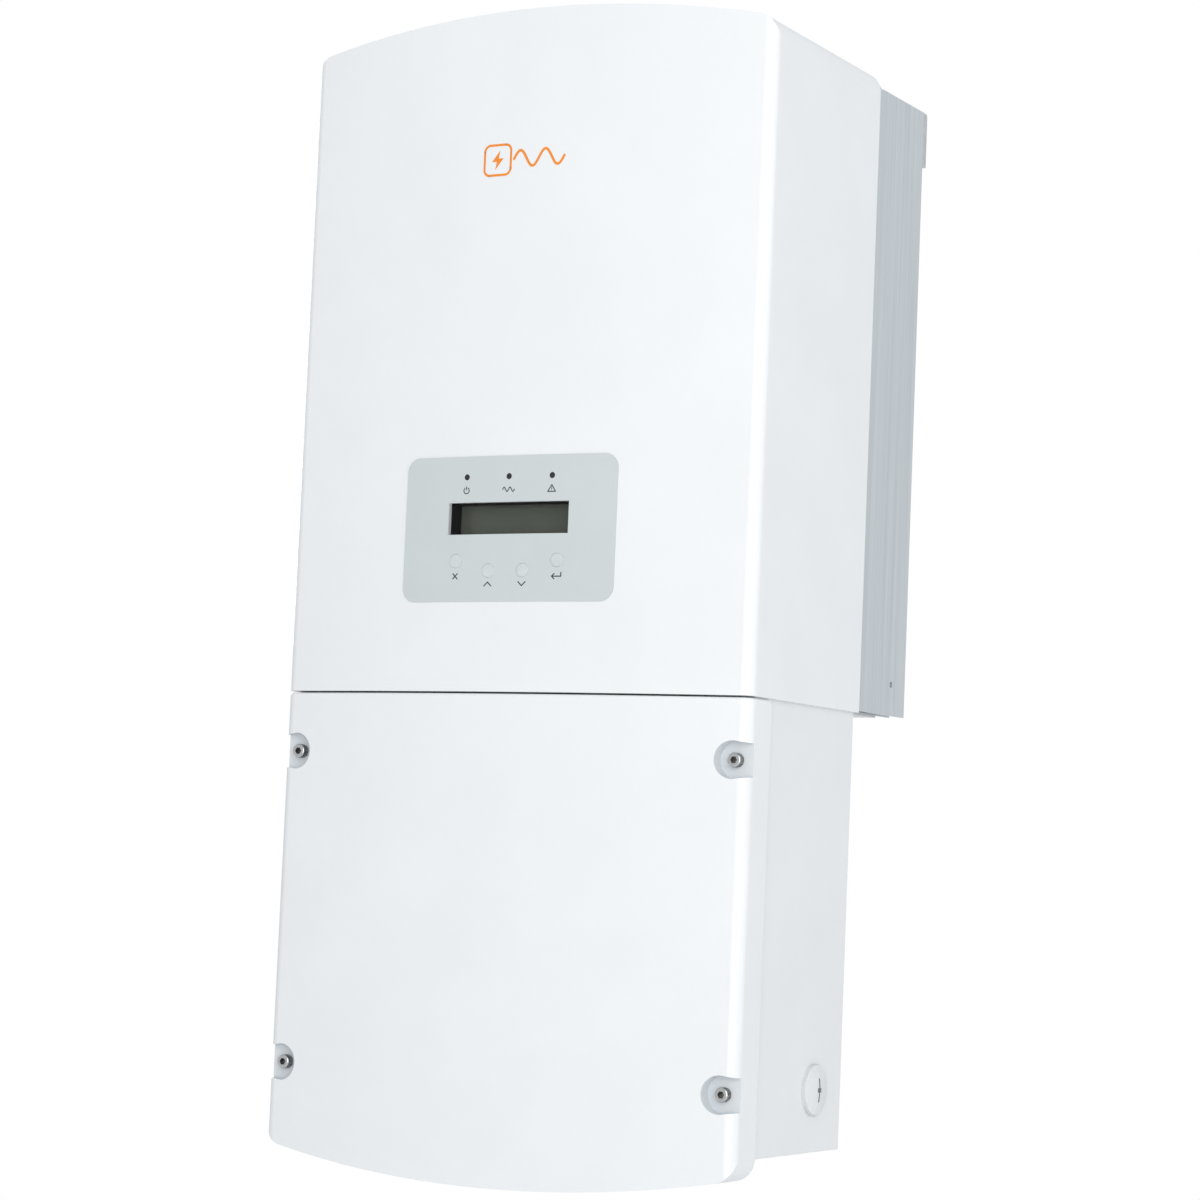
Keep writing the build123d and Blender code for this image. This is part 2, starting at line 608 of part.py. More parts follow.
def display_overlay():
    """Printed film over the display, with openings for the window, the lights and the buttons."""
    film = Pos(0, PANEL_Z) * RectangleRounded(PANEL_WIDTH, PANEL_HEIGHT, PANEL_CORNER_R)
    film -= Pos(0, LCD_Z) * Rectangle(LCD_WIDTH, LCD_HEIGHT)
    for x in LED_XS:
        film -= Pos(x, LED_Z) * Circle(LED_R + FIT_CLEARANCE)
    for x, z in BUTTONS.values():
        film -= Pos(x, z) * Circle(BUTTON_R + BUTTON_GAP)
    return bowed_sheet(film, -FILM, 0.0)


def button(x, z):
    """A round key with a collar behind the casing, reaching back to its contact switch."""
    collar_r = BUTTON_R + KEY_COLLAR
    face_y = front_y(x, -FILM) - BUTTON_PROUD
    collar_y = front_y(abs(x) + collar_r, SKIN) + 0.3
    rear_y = DISPLAY_BOARD_Y - SWITCH_HEIGHT - BUTTON_TRAVEL - 0.2
    key = rod_y(x, z, BUTTON_R, face_y, rear_y)
    key = fillet(key.edges().filter_by(GeomType.CIRCLE).sort_by(Axis.Y)[0], KEY_EDGE_R)
    return key + rod_y(x, z, collar_r, collar_y, collar_y + KEY_COLLAR)


def button_switches():
    switches = []
    for x, z in BUTTONS.values():
        low_y = DISPLAY_BOARD_Y - SWITCH_HEIGHT
        body = block((x - 3, x + 3), (low_y + 1.5, DISPLAY_BOARD_Y), (z - 3, z + 3))
        switches.append(body + rod_y(x, z, 1.7, low_y, low_y + 2))
    return joined(switches)


def ribbon_cable():
    """Flat cable from the display board's back up to the control board's socket."""
    low_z = CONTROL_BOARD_Z[0]
    start_y = DISPLAY_BOARD_Y + BOARD
    socket_y = CONTROL_BOARD_Y - SOCKET_DEPTH
    route = FilletPolyline((start_y, RIBBON_TOP_Z), (start_y + 8, RIBBON_TOP_Z), (start_y + 8, low_z + 6),
                           (socket_y, low_z + 6), radius=4)
    strip = trace(route, 1.2)
    return Pos(-RIBBON_HALF_WIDTH, 0, 0) * extrude(Plane.YZ * strip, amount=2 * RIBBON_HALF_WIDTH)


# ---- Wiring box ------------------------------------------------------------------------------
BOX_SCREW_BOSS_R = 5.5
BOX_SCREW_BOSS = 20.0         # the boss reaches this far behind the box's front
BOX_SCREW_HOLE = 18.0
BOX_OPENING_CORNER_R = 8.0
PLATE_STUD_R = 4.0
PLATE_SHEET = 1.5
SWITCH_HOLE_R = 8.0
PLATE_STUDS = [(x, z) for x in (-120.0, 0.0, 130.0) for z in (-552.0, -385.0)]
PLATE_X = (-158.0, 150.0)
PLATE_Z = (-560.0, -377.0)
PORT_PLACE = (-60.0, -120.0)
PORT_HOLE_R = 8.2
PORT_FLANGE = 2.5
PORT_FLANGE_R = 12.0
PORT_BARREL = 12.0
PORT_BARREL_R = 9.0
PORT_SOCKET_R = 7.0
PORT_NECK = 8.0
CONTACT_CIRCLE_R = 3.5
CONTACT_R = 0.8
BRACKET_SCREW_XS = (-138.0, -97.0, 97.0, 138.0)
BRACKET_SCREW_Z = -356.0
BRACKET_LEG_SCREW_YS = (-78.0, -62.0)
ANGLE_SPANS = ((-160.0, -75.0), (75.0, 160.0))
ANGLE_BOTTOM_Z = -378.0
ANGLE_REAR_Y = FRONT_Y + 196.0
ANGLE_UPRIGHT = 3.0           # thickness of the angles' upright leg
ANGLE_LEG = 2.2               # thickness of the leg under the heatsink


def cover_screw_places():
    return [(x, z) for x in (-SCREW_X, SCREW_X) for z in SCREW_HEIGHTS.values()]


def wiring_box():
    box = block((-BOX_HALF_WIDTH, BOX_HALF_WIDTH), (BOX_FRONT_Y, BOX_REAR_Y), (BOX_BOTTOM_Z, BOX_TOP_Z))
    upright_edges = box.edges().filter_by(Axis.Z)
    lower_edges = box.edges().filter_by(Axis.Y).sort_by(Axis.Z)[:2]
    box = fillet(upright_edges + lower_edges, BOX_CORNER_R)
    box -= block((-BOX_INNER_X, BOX_INNER_X), (BOX_FRONT_Y + BOX_WALL, BOX_INNER_REAR),
                 (BOX_BOTTOM_Z - PAST, BOX_INNER_TOP))
    opening_x = BOX_INNER_X - BOX_FLANGE
    opening = block((-opening_x, opening_x), (BOX_FRONT_Y - PAST, BOX_FRONT_Y + BOX_WALL + PAST),
                    (BOX_INNER_BOTTOM + BOX_FLANGE, BOX_INNER_TOP - BOX_FLANGE))
    box -= fillet(opening.edges().filter_by(Axis.Y), BOX_OPENING_CORNER_R)

    for x, z in cover_screw_places():
        box += rod_y(x, z, BOX_SCREW_BOSS_R, BOX_FRONT_Y + BOX_WALL, BOX_FRONT_Y + BOX_SCREW_BOSS)
        box -= rod_y(x, z, SHANK_R + FIT_CLEARANCE, BOX_FRONT_Y - PAST, BOX_FRONT_Y + BOX_SCREW_HOLE)
    for x, y in wire_entries():
        box -= rod_z(x, y, SHELL_HOLE_R, BOX_INNER_TOP - PAST, BOX_TOP_Z + PAST)
    box -= rod_x(SIDE_PLUG_Y, SIDE_PLUG_Z, CONDUIT_HOLE_R, -HALF_WIDTH, HALF_WIDTH)
    box -= rod_x(SWITCH_Y, SWITCH_Z, SWITCH_HOLE_R, -HALF_WIDTH, -BOX_INNER_X + PAST)

    for x, z in PLATE_STUDS:
        box += rod_y(x, z, PLATE_STUD_R, PLATE_FRONT_Y + PLATE_SHEET, BOX_INNER_REAR)
    for x in BRACKET_SCREW_XS:
        box -= rod_y(x, BRACKET_SCREW_Z, M5_R + FIT_CLEARANCE, BOX_INNER_REAR - PAST, BOX_REAR_Y + PAST)
    return box


def wiring_box_floor():
    """Floor sheet, spot-welded between the box's walls, with holes for the conduits and the port."""
    floor = block((-BOX_INNER_X, BOX_INNER_X), (BOX_FRONT_Y + BOX_WALL, BOX_INNER_REAR),
                  (BOX_BOTTOM_Z, BOX_INNER_BOTTOM))
    holes = [(x, BOTTOM_ENTRY_Y, CONDUIT_HOLE_R) for x in OPEN_ENTRY_XS + PLUGGED_ENTRY_XS]
    holes.append(PORT_PLACE + (PORT_HOLE_R,))
    for x, y, radius in holes:
        floor -= rod_z(x, y, radius, BOX_BOTTOM_Z - PAST, BOX_INNER_BOTTOM + PAST)
    return floor


def box_brackets():
    """Two angle brackets that carry the wiring box from the underside of the heatsink."""
    brackets = []
    for span in ANGLE_SPANS:
        upright = block(span, (BOX_REAR_Y, BOX_REAR_Y + ANGLE_UPRIGHT),
                        (ANGLE_BOTTOM_Z, UPPER_BOTTOM_Z - 0.2))
        leg = block(span, (UPPER_REAR_Y + 0.2, ANGLE_REAR_Y), (SINK_BOTTOM_Z - ANGLE_LEG, SINK_BOTTOM_Z))
        brackets.append(upright + leg)
    pair = joined(brackets)
    for x, y in bracket_leg_screw_places():
        pair -= rod_z(x, y, M5_R + FIT_CLEARANCE, SINK_BOTTOM_Z - ANGLE_LEG - PAST, SINK_BOTTOM_Z + PAST)
    for x in BRACKET_SCREW_XS:
        pair -= rod_y(x, BRACKET_SCREW_Z, M5_R + FIT_CLEARANCE, BOX_REAR_Y - PAST,
                      BOX_REAR_Y + ANGLE_UPRIGHT + PAST)
    return pair


def bracket_leg_screw_places():
    """(x, y) of the upright screws into the heatsink's two thick ribs."""
    return [(fin_x(index), y) for index in RIB_FINS for y in BRACKET_LEG_SCREW_YS]


def cable_grommets():
    """Rubber bushes that seal each wire where it passes up into the upper casing."""
    low = BOX_INNER_TOP - GROMMET_LIP
    high = UPPER_BOTTOM_Z + SKIN + GROMMET_LIP
    bushes = []
    for x, y in wire_entries():
        bush = rod_z(x, y, SHELL_HOLE_R, low, high)
        bush += rod_z(x, y, GROMMET_R, low, BOX_INNER_TOP)
        bush += rod_z(x, y, GROMMET_R, UPPER_BOTTOM_Z + SKIN, high)
        bushes.append(bush - rod_z(x, y, WIRE_R + FIT_CLEARANCE, low - PAST, high + PAST))
    return joined(bushes)


# ---- Wiring cover ----------------------------------------------------------------------------
COVER_CORNER_R = 4.5          # upper rear corners, seen from the side
COVER_RIM_R = 1.5
COVER_LIP_GAP = 2.5           # from the cover's short top lip to the box's front
COVER_SEAL = 3.0
COVER_SEAL_MARGIN = 2.5       # the seal is wider than the rib by this much on each side
SCREW_WASHER = 1.0
SCREW_WASHER_R = 4.2
RIB_X = (147.0, 150.0)
RIB_Z = ((-589.5, -586.5), (-356.5, -353.5))


def frame_ring(outer_x, inner_x, outer_z, inner_z, near_y, far_y):
    outer = block((-outer_x, outer_x), (near_y, far_y), outer_z)
    return outer - block((-inner_x, inner_x), (near_y - 1, far_y + 1), inner_z)


def cover_outside():
    """The cover's outer form, its rear corners cut round and its whole rear and top rim softened."""
    view = elevation_outline(0, COVER_TOP_Z, COVER_CROWN_Z, False)
    outer = casing_block(0, COVER_SIDE_REAR_Y, view)
    bounds = block((-WIDTH, WIDTH), (2 * FRONT_Y, COVER_SIDE_REAR_Y), (2 * COVER_CROWN_Z, COVER_TOP_Z))
    upper_rear = bounds.edges().filter_by(Axis.X).group_by(Axis.Z)[-1].sort_by(Axis.Y)[-1]
    outer &= fillet(upper_rear, COVER_CORNER_R)
    rim = [edge for edge in outer.edges()
           if edge not in outer.edges().filter_by(Axis.X)
           and (edge.center().Z > COVER_TOP_Z - COVER_CORNER_R
                or edge.center().Y > COVER_SIDE_REAR_Y - COVER_CORNER_R)]
    return fillet(rim, COVER_RIM_R)


def screw_pocket(x, z, radius, near_y, far_y):
    """A round pocket that narrows a little as it runs out through the nearer side of the cover."""
    near_x = abs(x)
    side_x = HALF_WIDTH + PAST
    half_mouth = radius - POCKET_TAPER
    outline = Polygon((near_x, z - radius), (side_x, z - half_mouth), (side_x, z + half_mouth),
                      (near_x, z + radius), align=None)
    mouth = Pos(0, far_y, 0) * extrude(Plane.XZ * outline, amount=far_y - near_y)
    return rod_y(x, z, radius, near_y, far_y) + (mouth if x > 0 else mirror(mouth, Plane.YZ))


def wiring_cover():
    outer = cover_outside()
    inner_view = elevation_outline(SKIN, COVER_TOP_Z - SKIN, COVER_CROWN_Z, False)
    cover = outer - casing_block(SKIN, COVER_SIDE_REAR_Y + 5, inner_view)

    # The top edge is only a short lip, so that the box's roof can reach forward over it.
    lip_rear_y = BOX_FRONT_Y - COVER_LIP_GAP
    cover -= block((-BOX_HALF_WIDTH - 0.5, BOX_HALF_WIDTH + 0.5), (lip_rear_y, COVER_SIDE_REAR_Y + 1),
                   (COVER_TOP_Z - SKIN - 1, COVER_TOP_Z + 1))

    rib = frame_ring(RIB_X[1], RIB_X[0], (RIB_Z[0][0], RIB_Z[1][1]), (RIB_Z[0][1], RIB_Z[1][0]),
                     CROWN_Y + 1, SEAL_Y)
    body = casing_block(1, COVER_SIDE_REAR_Y, elevation_outline(1, COVER_TOP_Z, COVER_CROWN_Z, False))
    cover += rib & body
    for x, z in cover_screw_places():
        cover += screw_pocket(x, z, POCKET_R + SKIN, CROWN_Y, SEAL_Y) & body
    for x, z in cover_screw_places():
        cover -= screw_pocket(x, z, POCKET_R, CROWN_Y - 5, POCKET_FLOOR_Y)
        cover -= rod_y(x, z, SHANK_R + 0.3, CROWN_Y - 5, SEAL_Y + 1)
    return cover


def wiring_cover_gasket():
    margin = COVER_SEAL_MARGIN
    return frame_ring(RIB_X[1] + margin, RIB_X[0] - margin,
                      (RIB_Z[0][0] - margin, RIB_Z[1][1] + margin),
                      (RIB_Z[0][1] + margin, RIB_Z[1][0] - margin),
                      SEAL_Y, SEAL_Y + COVER_SEAL)


def cover_screw(x, z):
    """M5 cap-head screw with the sealing washer that keeps it in the cover."""
    seat_y = POCKET_FLOOR_Y - SCREW_WASHER
    fastener = Pos(x, seat_y, z) * Rot(90, 0, 0) * screw(
        SHANK_R, SCREW_LENGTH, SCREW_HEAD_R, SCREW_HEAD, SCREW_SOCKET, SCREW_EDGE_R)
    washer = rod_y(x, z, SCREW_WASHER_R, seat_y, POCKET_FLOOR_Y)
    washer -= rod_y(x, z, SHANK_R + 0.1, seat_y - PAST, POCKET_FLOOR_Y + PAST)
    return joined([fastener, washer])


# ---- Conduit plugs and port -----------------------------------------------------------------
PLUG_SEAL = 2.2               # thickness of the ring between the cap and the sheet
PLUG_RIM = 0.8
PLUG_DOME = 2.2
PLUG_NECK_R = CONDUIT_HOLE_R - 0.4
PLUG_NECK = 12.0
PLUG_WALL = 2.0
SLOT_DEPTH = 3.5
NUT_WIDTH = 35.0
NUT_THICKNESS = 5.0


def conduit_plug():
    """A hollow screw plug along Z: its cap sits on the seal, whose seat is Z = 0, and its neck goes down."""
    rim_top = PLUG_SEAL + PLUG_RIM
    crown = rim_top + PLUG_DOME
    rim = Pos(0, 0, PLUG_SEAL + PLUG_RIM / 2) * Cylinder(PLUG_CAP_R, PLUG_RIM)
    dome_r = (PLUG_CAP_R**2 + PLUG_DOME**2) / (2 * PLUG_DOME)
    dome = Pos(0, 0, crown - dome_r) * Sphere(dome_r)
    dome &= Pos(0, 0, rim_top + PLUG_DOME / 2) * Cylinder(PLUG_CAP_R + 1, PLUG_DOME)
    neck = rod_z(0, 0, PLUG_NECK_R, -PLUG_NECK, PLUG_SEAL)
    neck -= rod_z(0, 0, PLUG_NECK_R - PLUG_WALL, -PLUG_NECK - 1, -1)
    long_slot = Pos(0, 0, crown) * Box(1.8, 14.5, 2 * SLOT_DEPTH)
    short_slot = Pos(0, 0, crown) * Box(5.0, 2.6, 2 * SLOT_DEPTH)
    return rim + dome + neck - long_slot - short_slot


def plug_seal():
    ring = Pos(0, 0, PLUG_SEAL / 2) * Cylinder(PLUG_SEAL_R, PLUG_SEAL)
    return ring - Pos(0, 0, PLUG_SEAL / 2) * Cylinder(PLUG_NECK_R + 0.1, PLUG_SEAL + 1)


def locknut():
    """A hexagonal nut along Z with its seat on Z = 0."""
    nut = extrude(RegularPolygon(NUT_WIDTH / 2, 6, major_radius=False), amount=-NUT_THICKNESS)
    return nut - Pos(0, 0, -NUT_THICKNESS / 2) * Cylinder(PLUG_NECK_R + 0.1, NUT_THICKNESS + 2)


def side_locations():
    """Frames on the box's side walls, Z outward: right, then left."""
    right = Pos(BOX_HALF_WIDTH, SIDE_PLUG_Y, SIDE_PLUG_Z) * Rot(0, 90, 0) * Rot(0, 0, 90)
    left = Pos(-BOX_HALF_WIDTH, SIDE_PLUG_Y, SIDE_PLUG_Z) * Rot(0, -90, 0) * Rot(0, 0, 90)
    return right, left


def bottom_locations():
    return [Pos(x, BOTTOM_ENTRY_Y, BOX_BOTTOM_Z) * Rot(180, 0, 0) for x in PLUGGED_ENTRY_XS]


def side_conduit_plugs():
    plug = conduit_plug()
    return joined(place * plug for place in side_locations())


def bottom_conduit_plugs():
    plug = conduit_plug()
    return joined(place * plug for place in bottom_locations())


def all_plug_locations():
    return list(side_locations()) + bottom_locations()


def plug_seals():
    seal = plug_seal()
    return joined(place * seal for place in all_plug_locations())


def plug_locknuts():
    nut = Pos(0, 0, -BOX_WALL) * locknut()
    return joined(place * nut for place in all_plug_locations())


def com_port():
    """Round data socket with four contacts, under the box."""
    x, y = PORT_PLACE
    flange = rod_z(x, y, PORT_FLANGE_R, BOX_BOTTOM_Z - PORT_FLANGE, BOX_BOTTOM_Z)
    barrel = rod_z(x, y, PORT_BARREL_R, BOX_BOTTOM_Z - PORT_BARREL, BOX_BOTTOM_Z)
    neck = rod_z(x, y, PORT_HOLE_R - 0.1, BOX_BOTTOM_Z - 1, BOX_INNER_BOTTOM + PORT_NECK)
    socket = rod_z(x, y, PORT_SOCKET_R, BOX_BOTTOM_Z - PORT_BARREL - PAST, BOX_BOTTOM_Z - 3)
    port = flange + barrel + neck - socket
    for turn in range(4):
        angle = math.radians(45 + 90 * turn)
        port += rod_z(x + CONTACT_CIRCLE_R * math.cos(angle), y + CONTACT_CIRCLE_R * math.sin(angle),
                      CONTACT_R, BOX_BOTTOM_Z - PORT_BARREL + 2, BOX_BOTTOM_Z - 2)
    return port


# ---- Disconnect switch -----------------------------------------------------------------------
SWITCH_BODY_X = (-BOX_INNER_X, -BOX_INNER_X + 70)
SWITCH_BODY_Z = (SWITCH_Z - 30, SWITCH_Z + 30)
DIAL_X = -BOX_HALF_WIDTH - 3.0
DIAL_HALF = 30.0
KNOB_X = -BOX_HALF_WIDTH - 24.0
KNOB_R = 23.0
SWITCH_HALF_DEPTH = 25.0
DECK = 17.5                   # pitch of the switch's stacked decks
DECK_GROOVE = 1.2


def dc_switch_body():
    """Stacked rotary switch, with a bore for its shaft."""
    body = block(SWITCH_BODY_X, (SWITCH_Y - SWITCH_HALF_DEPTH, SWITCH_Y + SWITCH_HALF_DEPTH), SWITCH_BODY_Z)
    body = fillet(body.edges().filter_by(Axis.X), 4)
    for deck in range(1, 4):
        x = SWITCH_BODY_X[0] + DECK * deck
        outside = Pos(x, SWITCH_Y, SWITCH_Z) * Box(DECK_GROOVE, 2 * SWITCH_HALF_DEPTH + 2, 62)
        inside = Pos(x, SWITCH_Y, SWITCH_Z) * Box(2 * DECK_GROOVE, 2 * SWITCH_HALF_DEPTH - 2, 58)
        body -= outside - inside
    bore = rod_x(SWITCH_Y, SWITCH_Z, SWITCH_SHAFT_R + FIT_CLEARANCE, SWITCH_BODY_X[0] - 1,
                 SWITCH_BODY_X[0] + 18)
    return body - bore


def dc_switch_dial():
    """Square seat plate around the switch's shaft."""
    plate = block((DIAL_X, -BOX_HALF_WIDTH), (SWITCH_Y - DIAL_HALF, SWITCH_Y + DIAL_HALF),
                  (SWITCH_Z - DIAL_HALF, SWITCH_Z + DIAL_HALF))
    plate = fillet(plate.edges().filter_by(Axis.X), 5)
    return plate - rod_x(SWITCH_Y, SWITCH_Z, SWITCH_SHAFT_R + FIT_CLEARANCE, DIAL_X - 1, -BOX_HALF_WIDTH + 1)


def dc_switch_knob():
    """Knob with a raised grip bar, and the shaft that turns the switch."""
    disc = rod_x(SWITCH_Y, SWITCH_Z, KNOB_R, KNOB_X + 12, DIAL_X - 0.5)
    disc = fillet(disc.edges().filter_by(GeomType.CIRCLE).sort_by(Axis.X)[0], 2)
    grip = block((KNOB_X, KNOB_X + 13), (SWITCH_Y - 5, SWITCH_Y + 5),
                 (SWITCH_Z - KNOB_R + 1, SWITCH_Z + KNOB_R - 1))
    grip = fillet(grip.edges().filter_by(Axis.X), 4.5)
    grip = fillet(grip.edges().filter_by(GeomType.LINE).filter_by(Axis.Z).sort_by(Axis.X)[:2], 1.5)
    shaft = rod_x(SWITCH_Y, SWITCH_Z, SWITCH_SHAFT_R, DIAL_X - 1, SWITCH_BODY_X[0] + 16)
    return disc + grip + shaft


# ---- Terminals -------------------------------------------------------------------------------
BLOCK_Y = (-142.0, PLATE_FRONT_Y)
DC_BLOCK_Z = (-522.0, -490.0)
AC_BLOCK_Z = (-470.0, -438.0)
TERMINAL_HALF_WIDTH = 8.0
TERMINAL_WELL_R = 4.2
TERMINAL_WELL = 12.0
WELL_OFFSET = 8.0             # of the screw wells, above and below the block's middle
WIRE_MOUTH_INSET = 14.0
BAR_SCREW_XS = (-28.0, -12.0, 4.0, 20.0, 36.0)
BAR_Y = (-117.0, -111.0)
BAR_Z = (-545.0, -533.0)
BAR_X = (-40.0, 70.0)
COMM_BOARD_X = (-45.0, 45.0)
COMM_BOARD_Y = -115.0
COMM_BOARD_Z = (-470.0, -400.0)


def terminal_mounting_plate():
    plate = block(PLATE_X, (PLATE_FRONT_Y, PLATE_FRONT_Y + PLATE_SHEET), PLATE_Z)
    return fillet(plate.edges().filter_by(Axis.Y), 3)


def terminal_block(xs, z_span):
    """Row of screw terminals: a housing with wire mouths below and above, and screw wells in front."""
    low_z, high_z = z_span
    middle_z = (low_z + high_z) / 2
    housing = block((xs[0] - TERMINAL_HALF_WIDTH, xs[-1] + TERMINAL_HALF_WIDTH), BLOCK_Y, z_span)
    front = BLOCK_Y[0]
    for x in xs:
        for z in (middle_z - WELL_OFFSET, middle_z + WELL_OFFSET):
            housing -= rod_y(x, z, TERMINAL_WELL_R, front - PAST, front + TERMINAL_WELL)
        housing -= rod_z(x, BLOCK_Y[1] - WIRE_MOUTH_INSET, WIRE_R + 1, low_z - PAST, low_z + TERMINAL_WELL)
    for x in xs[:-1]:
        groove_x = x + TERMINAL_HALF_WIDTH
        housing -= block((groove_x, groove_x + 1), (front - PAST, front + 6), (low_z - PAST, high_z + PAST))
    return housing


def dc_terminal_block():
    return terminal_block(DC_XS, DC_BLOCK_Z)


def ac_terminal_block():
    return terminal_block(AC_XS, AC_BLOCK_Z)


def terminal_screws():
    """Slotted clamping screws in the terminal blocks and on the earth bar."""
    fastener = Cylinder(3.8, 9.0) - Pos(0, 0, 4.5) * Box(8.0, 1.0, 2.4)
    screws = []
    for xs, (low_z, high_z) in ((DC_XS, DC_BLOCK_Z), (AC_XS, AC_BLOCK_Z)):
        middle_z = (low_z + high_z) / 2
        for x in xs:
            for z in (middle_z - WELL_OFFSET, middle_z + WELL_OFFSET):
                screws.append(Pos(x, BLOCK_Y[0] + 7.5, z) * Rot(90, 0, 0) * fastener)
    for x in BAR_SCREW_XS:
        screws.append(Pos(x, BAR_Y[0] - 2, sum(BAR_Z) / 2) * Rot(90, 0, 0) * Cylinder(4.0, 4.0))
    return joined(screws)


def earth_bar():
    """Brass bar on two feet."""
    bar = block(BAR_X, BAR_Y, BAR_Z)
    for x in (BAR_X[0] + 4, BAR_X[1] - 4):
        bar += block((x - 4, x + 4), (BAR_Y[0], PLATE_FRONT_Y), BAR_Z)
    return bar


def comm_post_places():
    return [(x, z) for x in (-38.0, 38.0) for z in (-464.0, -406.0)]


def comm_board():
    return block(COMM_BOARD_X, (COMM_BOARD_Y, COMM_BOARD_Y + BOARD), COMM_BOARD_Z)


def comm_connectors():
    """Pluggable terminal strips along the bottom of the communication board, and its cable header."""
    front = COMM_BOARD_Y
    strips = []
    for left_x in (-40.0, -12.0, 16.0):
        strip = block((left_x, left_x + 24), (front - 12, front), (-468, -458))
        for contact in range(4):
            strip -= rod_z(left_x + 3 + 6 * contact, front - 6, 1.6, -469, -464)
        strips.append(strip)
    strips.append(block((-10, 10), (front - 12, front), (-414, -404)))
    return joined(strips)


# ---- Wires -----------------------------------------------------------------------------------
def climbing_wire(x, start_y, start_z, end_y):
    """From a terminal, forward to the grommet plane, up through the roof, and back to end_y."""
    points = [(x, start_y, start_z)]
    if start_y != WIRE_Y:
        points += [(x, start_y, start_z + 24), (x, WIRE_Y, start_z + 58)]
    points += [(x, WIRE_Y, WIRE_TOP_Z), (x, end_y, WIRE_TOP_Z)]
    return wire(points, 18)


def switch_lead(x):
    """From the top of the array terminals to the bottom of the disconnect switch."""
    block_y = BLOCK_Y[1] - 20
    return wire([(x, block_y, DC_BLOCK_Z[1]), (x, block_y, DC_BLOCK_Z[1] + 10),
                 (x, SWITCH_Y, SWITCH_BODY_Z[0] - 10), (x, SWITCH_Y, SWITCH_BODY_Z[0])], 8)


def dc_wires(columns):
    wires = []
    for column in columns:
        x = DC_XS[column]
        wires.append(climbing_wire(x, WIRE_Y, SWITCH_BODY_Z[1], POWER_BOARD_Y))
        wires.append(switch_lead(x))
    return joined(wires)


def dc_wires_positive():
    return dc_wires((0, 2))


def dc_wires_negative():
    return dc_wires((1, 3))


def ac_wires():
    return joined(climbing_wire(x, BLOCK_Y[1] - 20, AC_BLOCK_Z[1], POWER_BOARD_Y) for x in AC_XS)


def earth_wire():
    """From the earth bar up to the heatsink's base, below the power board."""
    bar_y = sum(BAR_Y) / 2
    points = [(GROUND_WIRE_X, bar_y, BAR_Z[1]),
              (GROUND_WIRE_X, bar_y, -430),
              (GROUND_WIRE_X, WIRE_Y, -380),
              (GROUND_WIRE_X, WIRE_Y, EARTH_WIRE_Z),
              (GROUND_WIRE_X, UPPER_REAR_Y, EARTH_WIRE_Z)]
    return wire(points, 8)


def comm_cable():
    """From the communication board up to the control board."""
    start_y = COMM_BOARD_Y - 6
    points = [(COMM_CABLE_X, start_y, -404),
              (COMM_CABLE_X, start_y, -388),
              (COMM_CABLE_X, COMM_CABLE_Y, -350),
              (COMM_CABLE_X, COMM_CABLE_Y, -130),
              (COMM_CABLE_X, CONTROL_BOARD_Y + BOARD, -130)]
    return wire(points, 7)


# ---- Hanger and wall bracket -----------------------------------------------------------------
def hanger_screw_places():
    return [(fin_x(index), z) for index in RIB_FINS for z in HANGER_SCREW_HEIGHTS]


def hanger_plate():
    """Plate on the fin tips, folded back and down into a hook along its top, with closed ends."""
    plate = BRACKET_PLATE
    span = (-HANGER_HALF_WIDTH, HANGER_HALF_WIDTH)
    hook_y = HOOK_Y
    back = block(span, (FIN_TIP_Y, FIN_TIP_Y + plate), (HANGER_BOTTOM_Z, HANGER_TOP_Z))
    fold = block(span, (FIN_TIP_Y, hook_y + plate), (HANGER_TOP_Z - plate, HANGER_TOP_Z))
    hook = block(span, (hook_y, hook_y + plate), (HOOK_BOTTOM_Z, HANGER_TOP_Z))
    hanger = back + fold + hook
    folded_edges = hanger.edges().filter_by(Axis.X).sort_by(Axis.Z)[-2:]
    hanger = fillet(folded_edges, 2.0)
    for x, z in hanger_screw_places():
        hanger -= rod_y(x, z, M5_R + 0.25, FIN_TIP_Y - PAST, FIN_TIP_Y + plate + PAST)
    for x, z in hanger_screw_places():
        hanger -= rod_y(x, z, HANGER_ACCESS_R, hook_y - PAST, 0)
    for end_x in (-HANGER_HALF_WIDTH, HANGER_HALF_WIDTH - HANGER_CHEEK):
        hanger += block((end_x, end_x + HANGER_CHEEK), (FIN_TIP_Y + plate, hook_y),
                        (HOOK_BOTTOM_Z, HANGER_TOP_Z - plate))
    return hanger


def mounting_screws():
    """M5 screws that hold the hanger on the fins and the wiring box's brackets."""
    fastener = screw(M5_R, 11.0, 4.2, 2.6, 3.0, 1.6)
    short = screw(M5_R, 7.0, 4.2, 2.6, 3.0, 1.6)
    screws = [Pos(x, FIN_TIP_Y + BRACKET_PLATE, z) * Rot(-90, 0, 0) * fastener
              for x, z in hanger_screw_places()]
    for x, y in bracket_leg_screw_places():
        screws.append(Pos(x, y, SINK_BOTTOM_Z - ANGLE_LEG) * Rot(180, 0, 0) * fastener)
    for x in BRACKET_SCREW_XS:
        screws.append(Pos(x, BOX_REAR_Y + ANGLE_UPRIGHT, BRACKET_SCREW_Z) * Rot(-90, 0, 0) * short)
    return joined(screws)


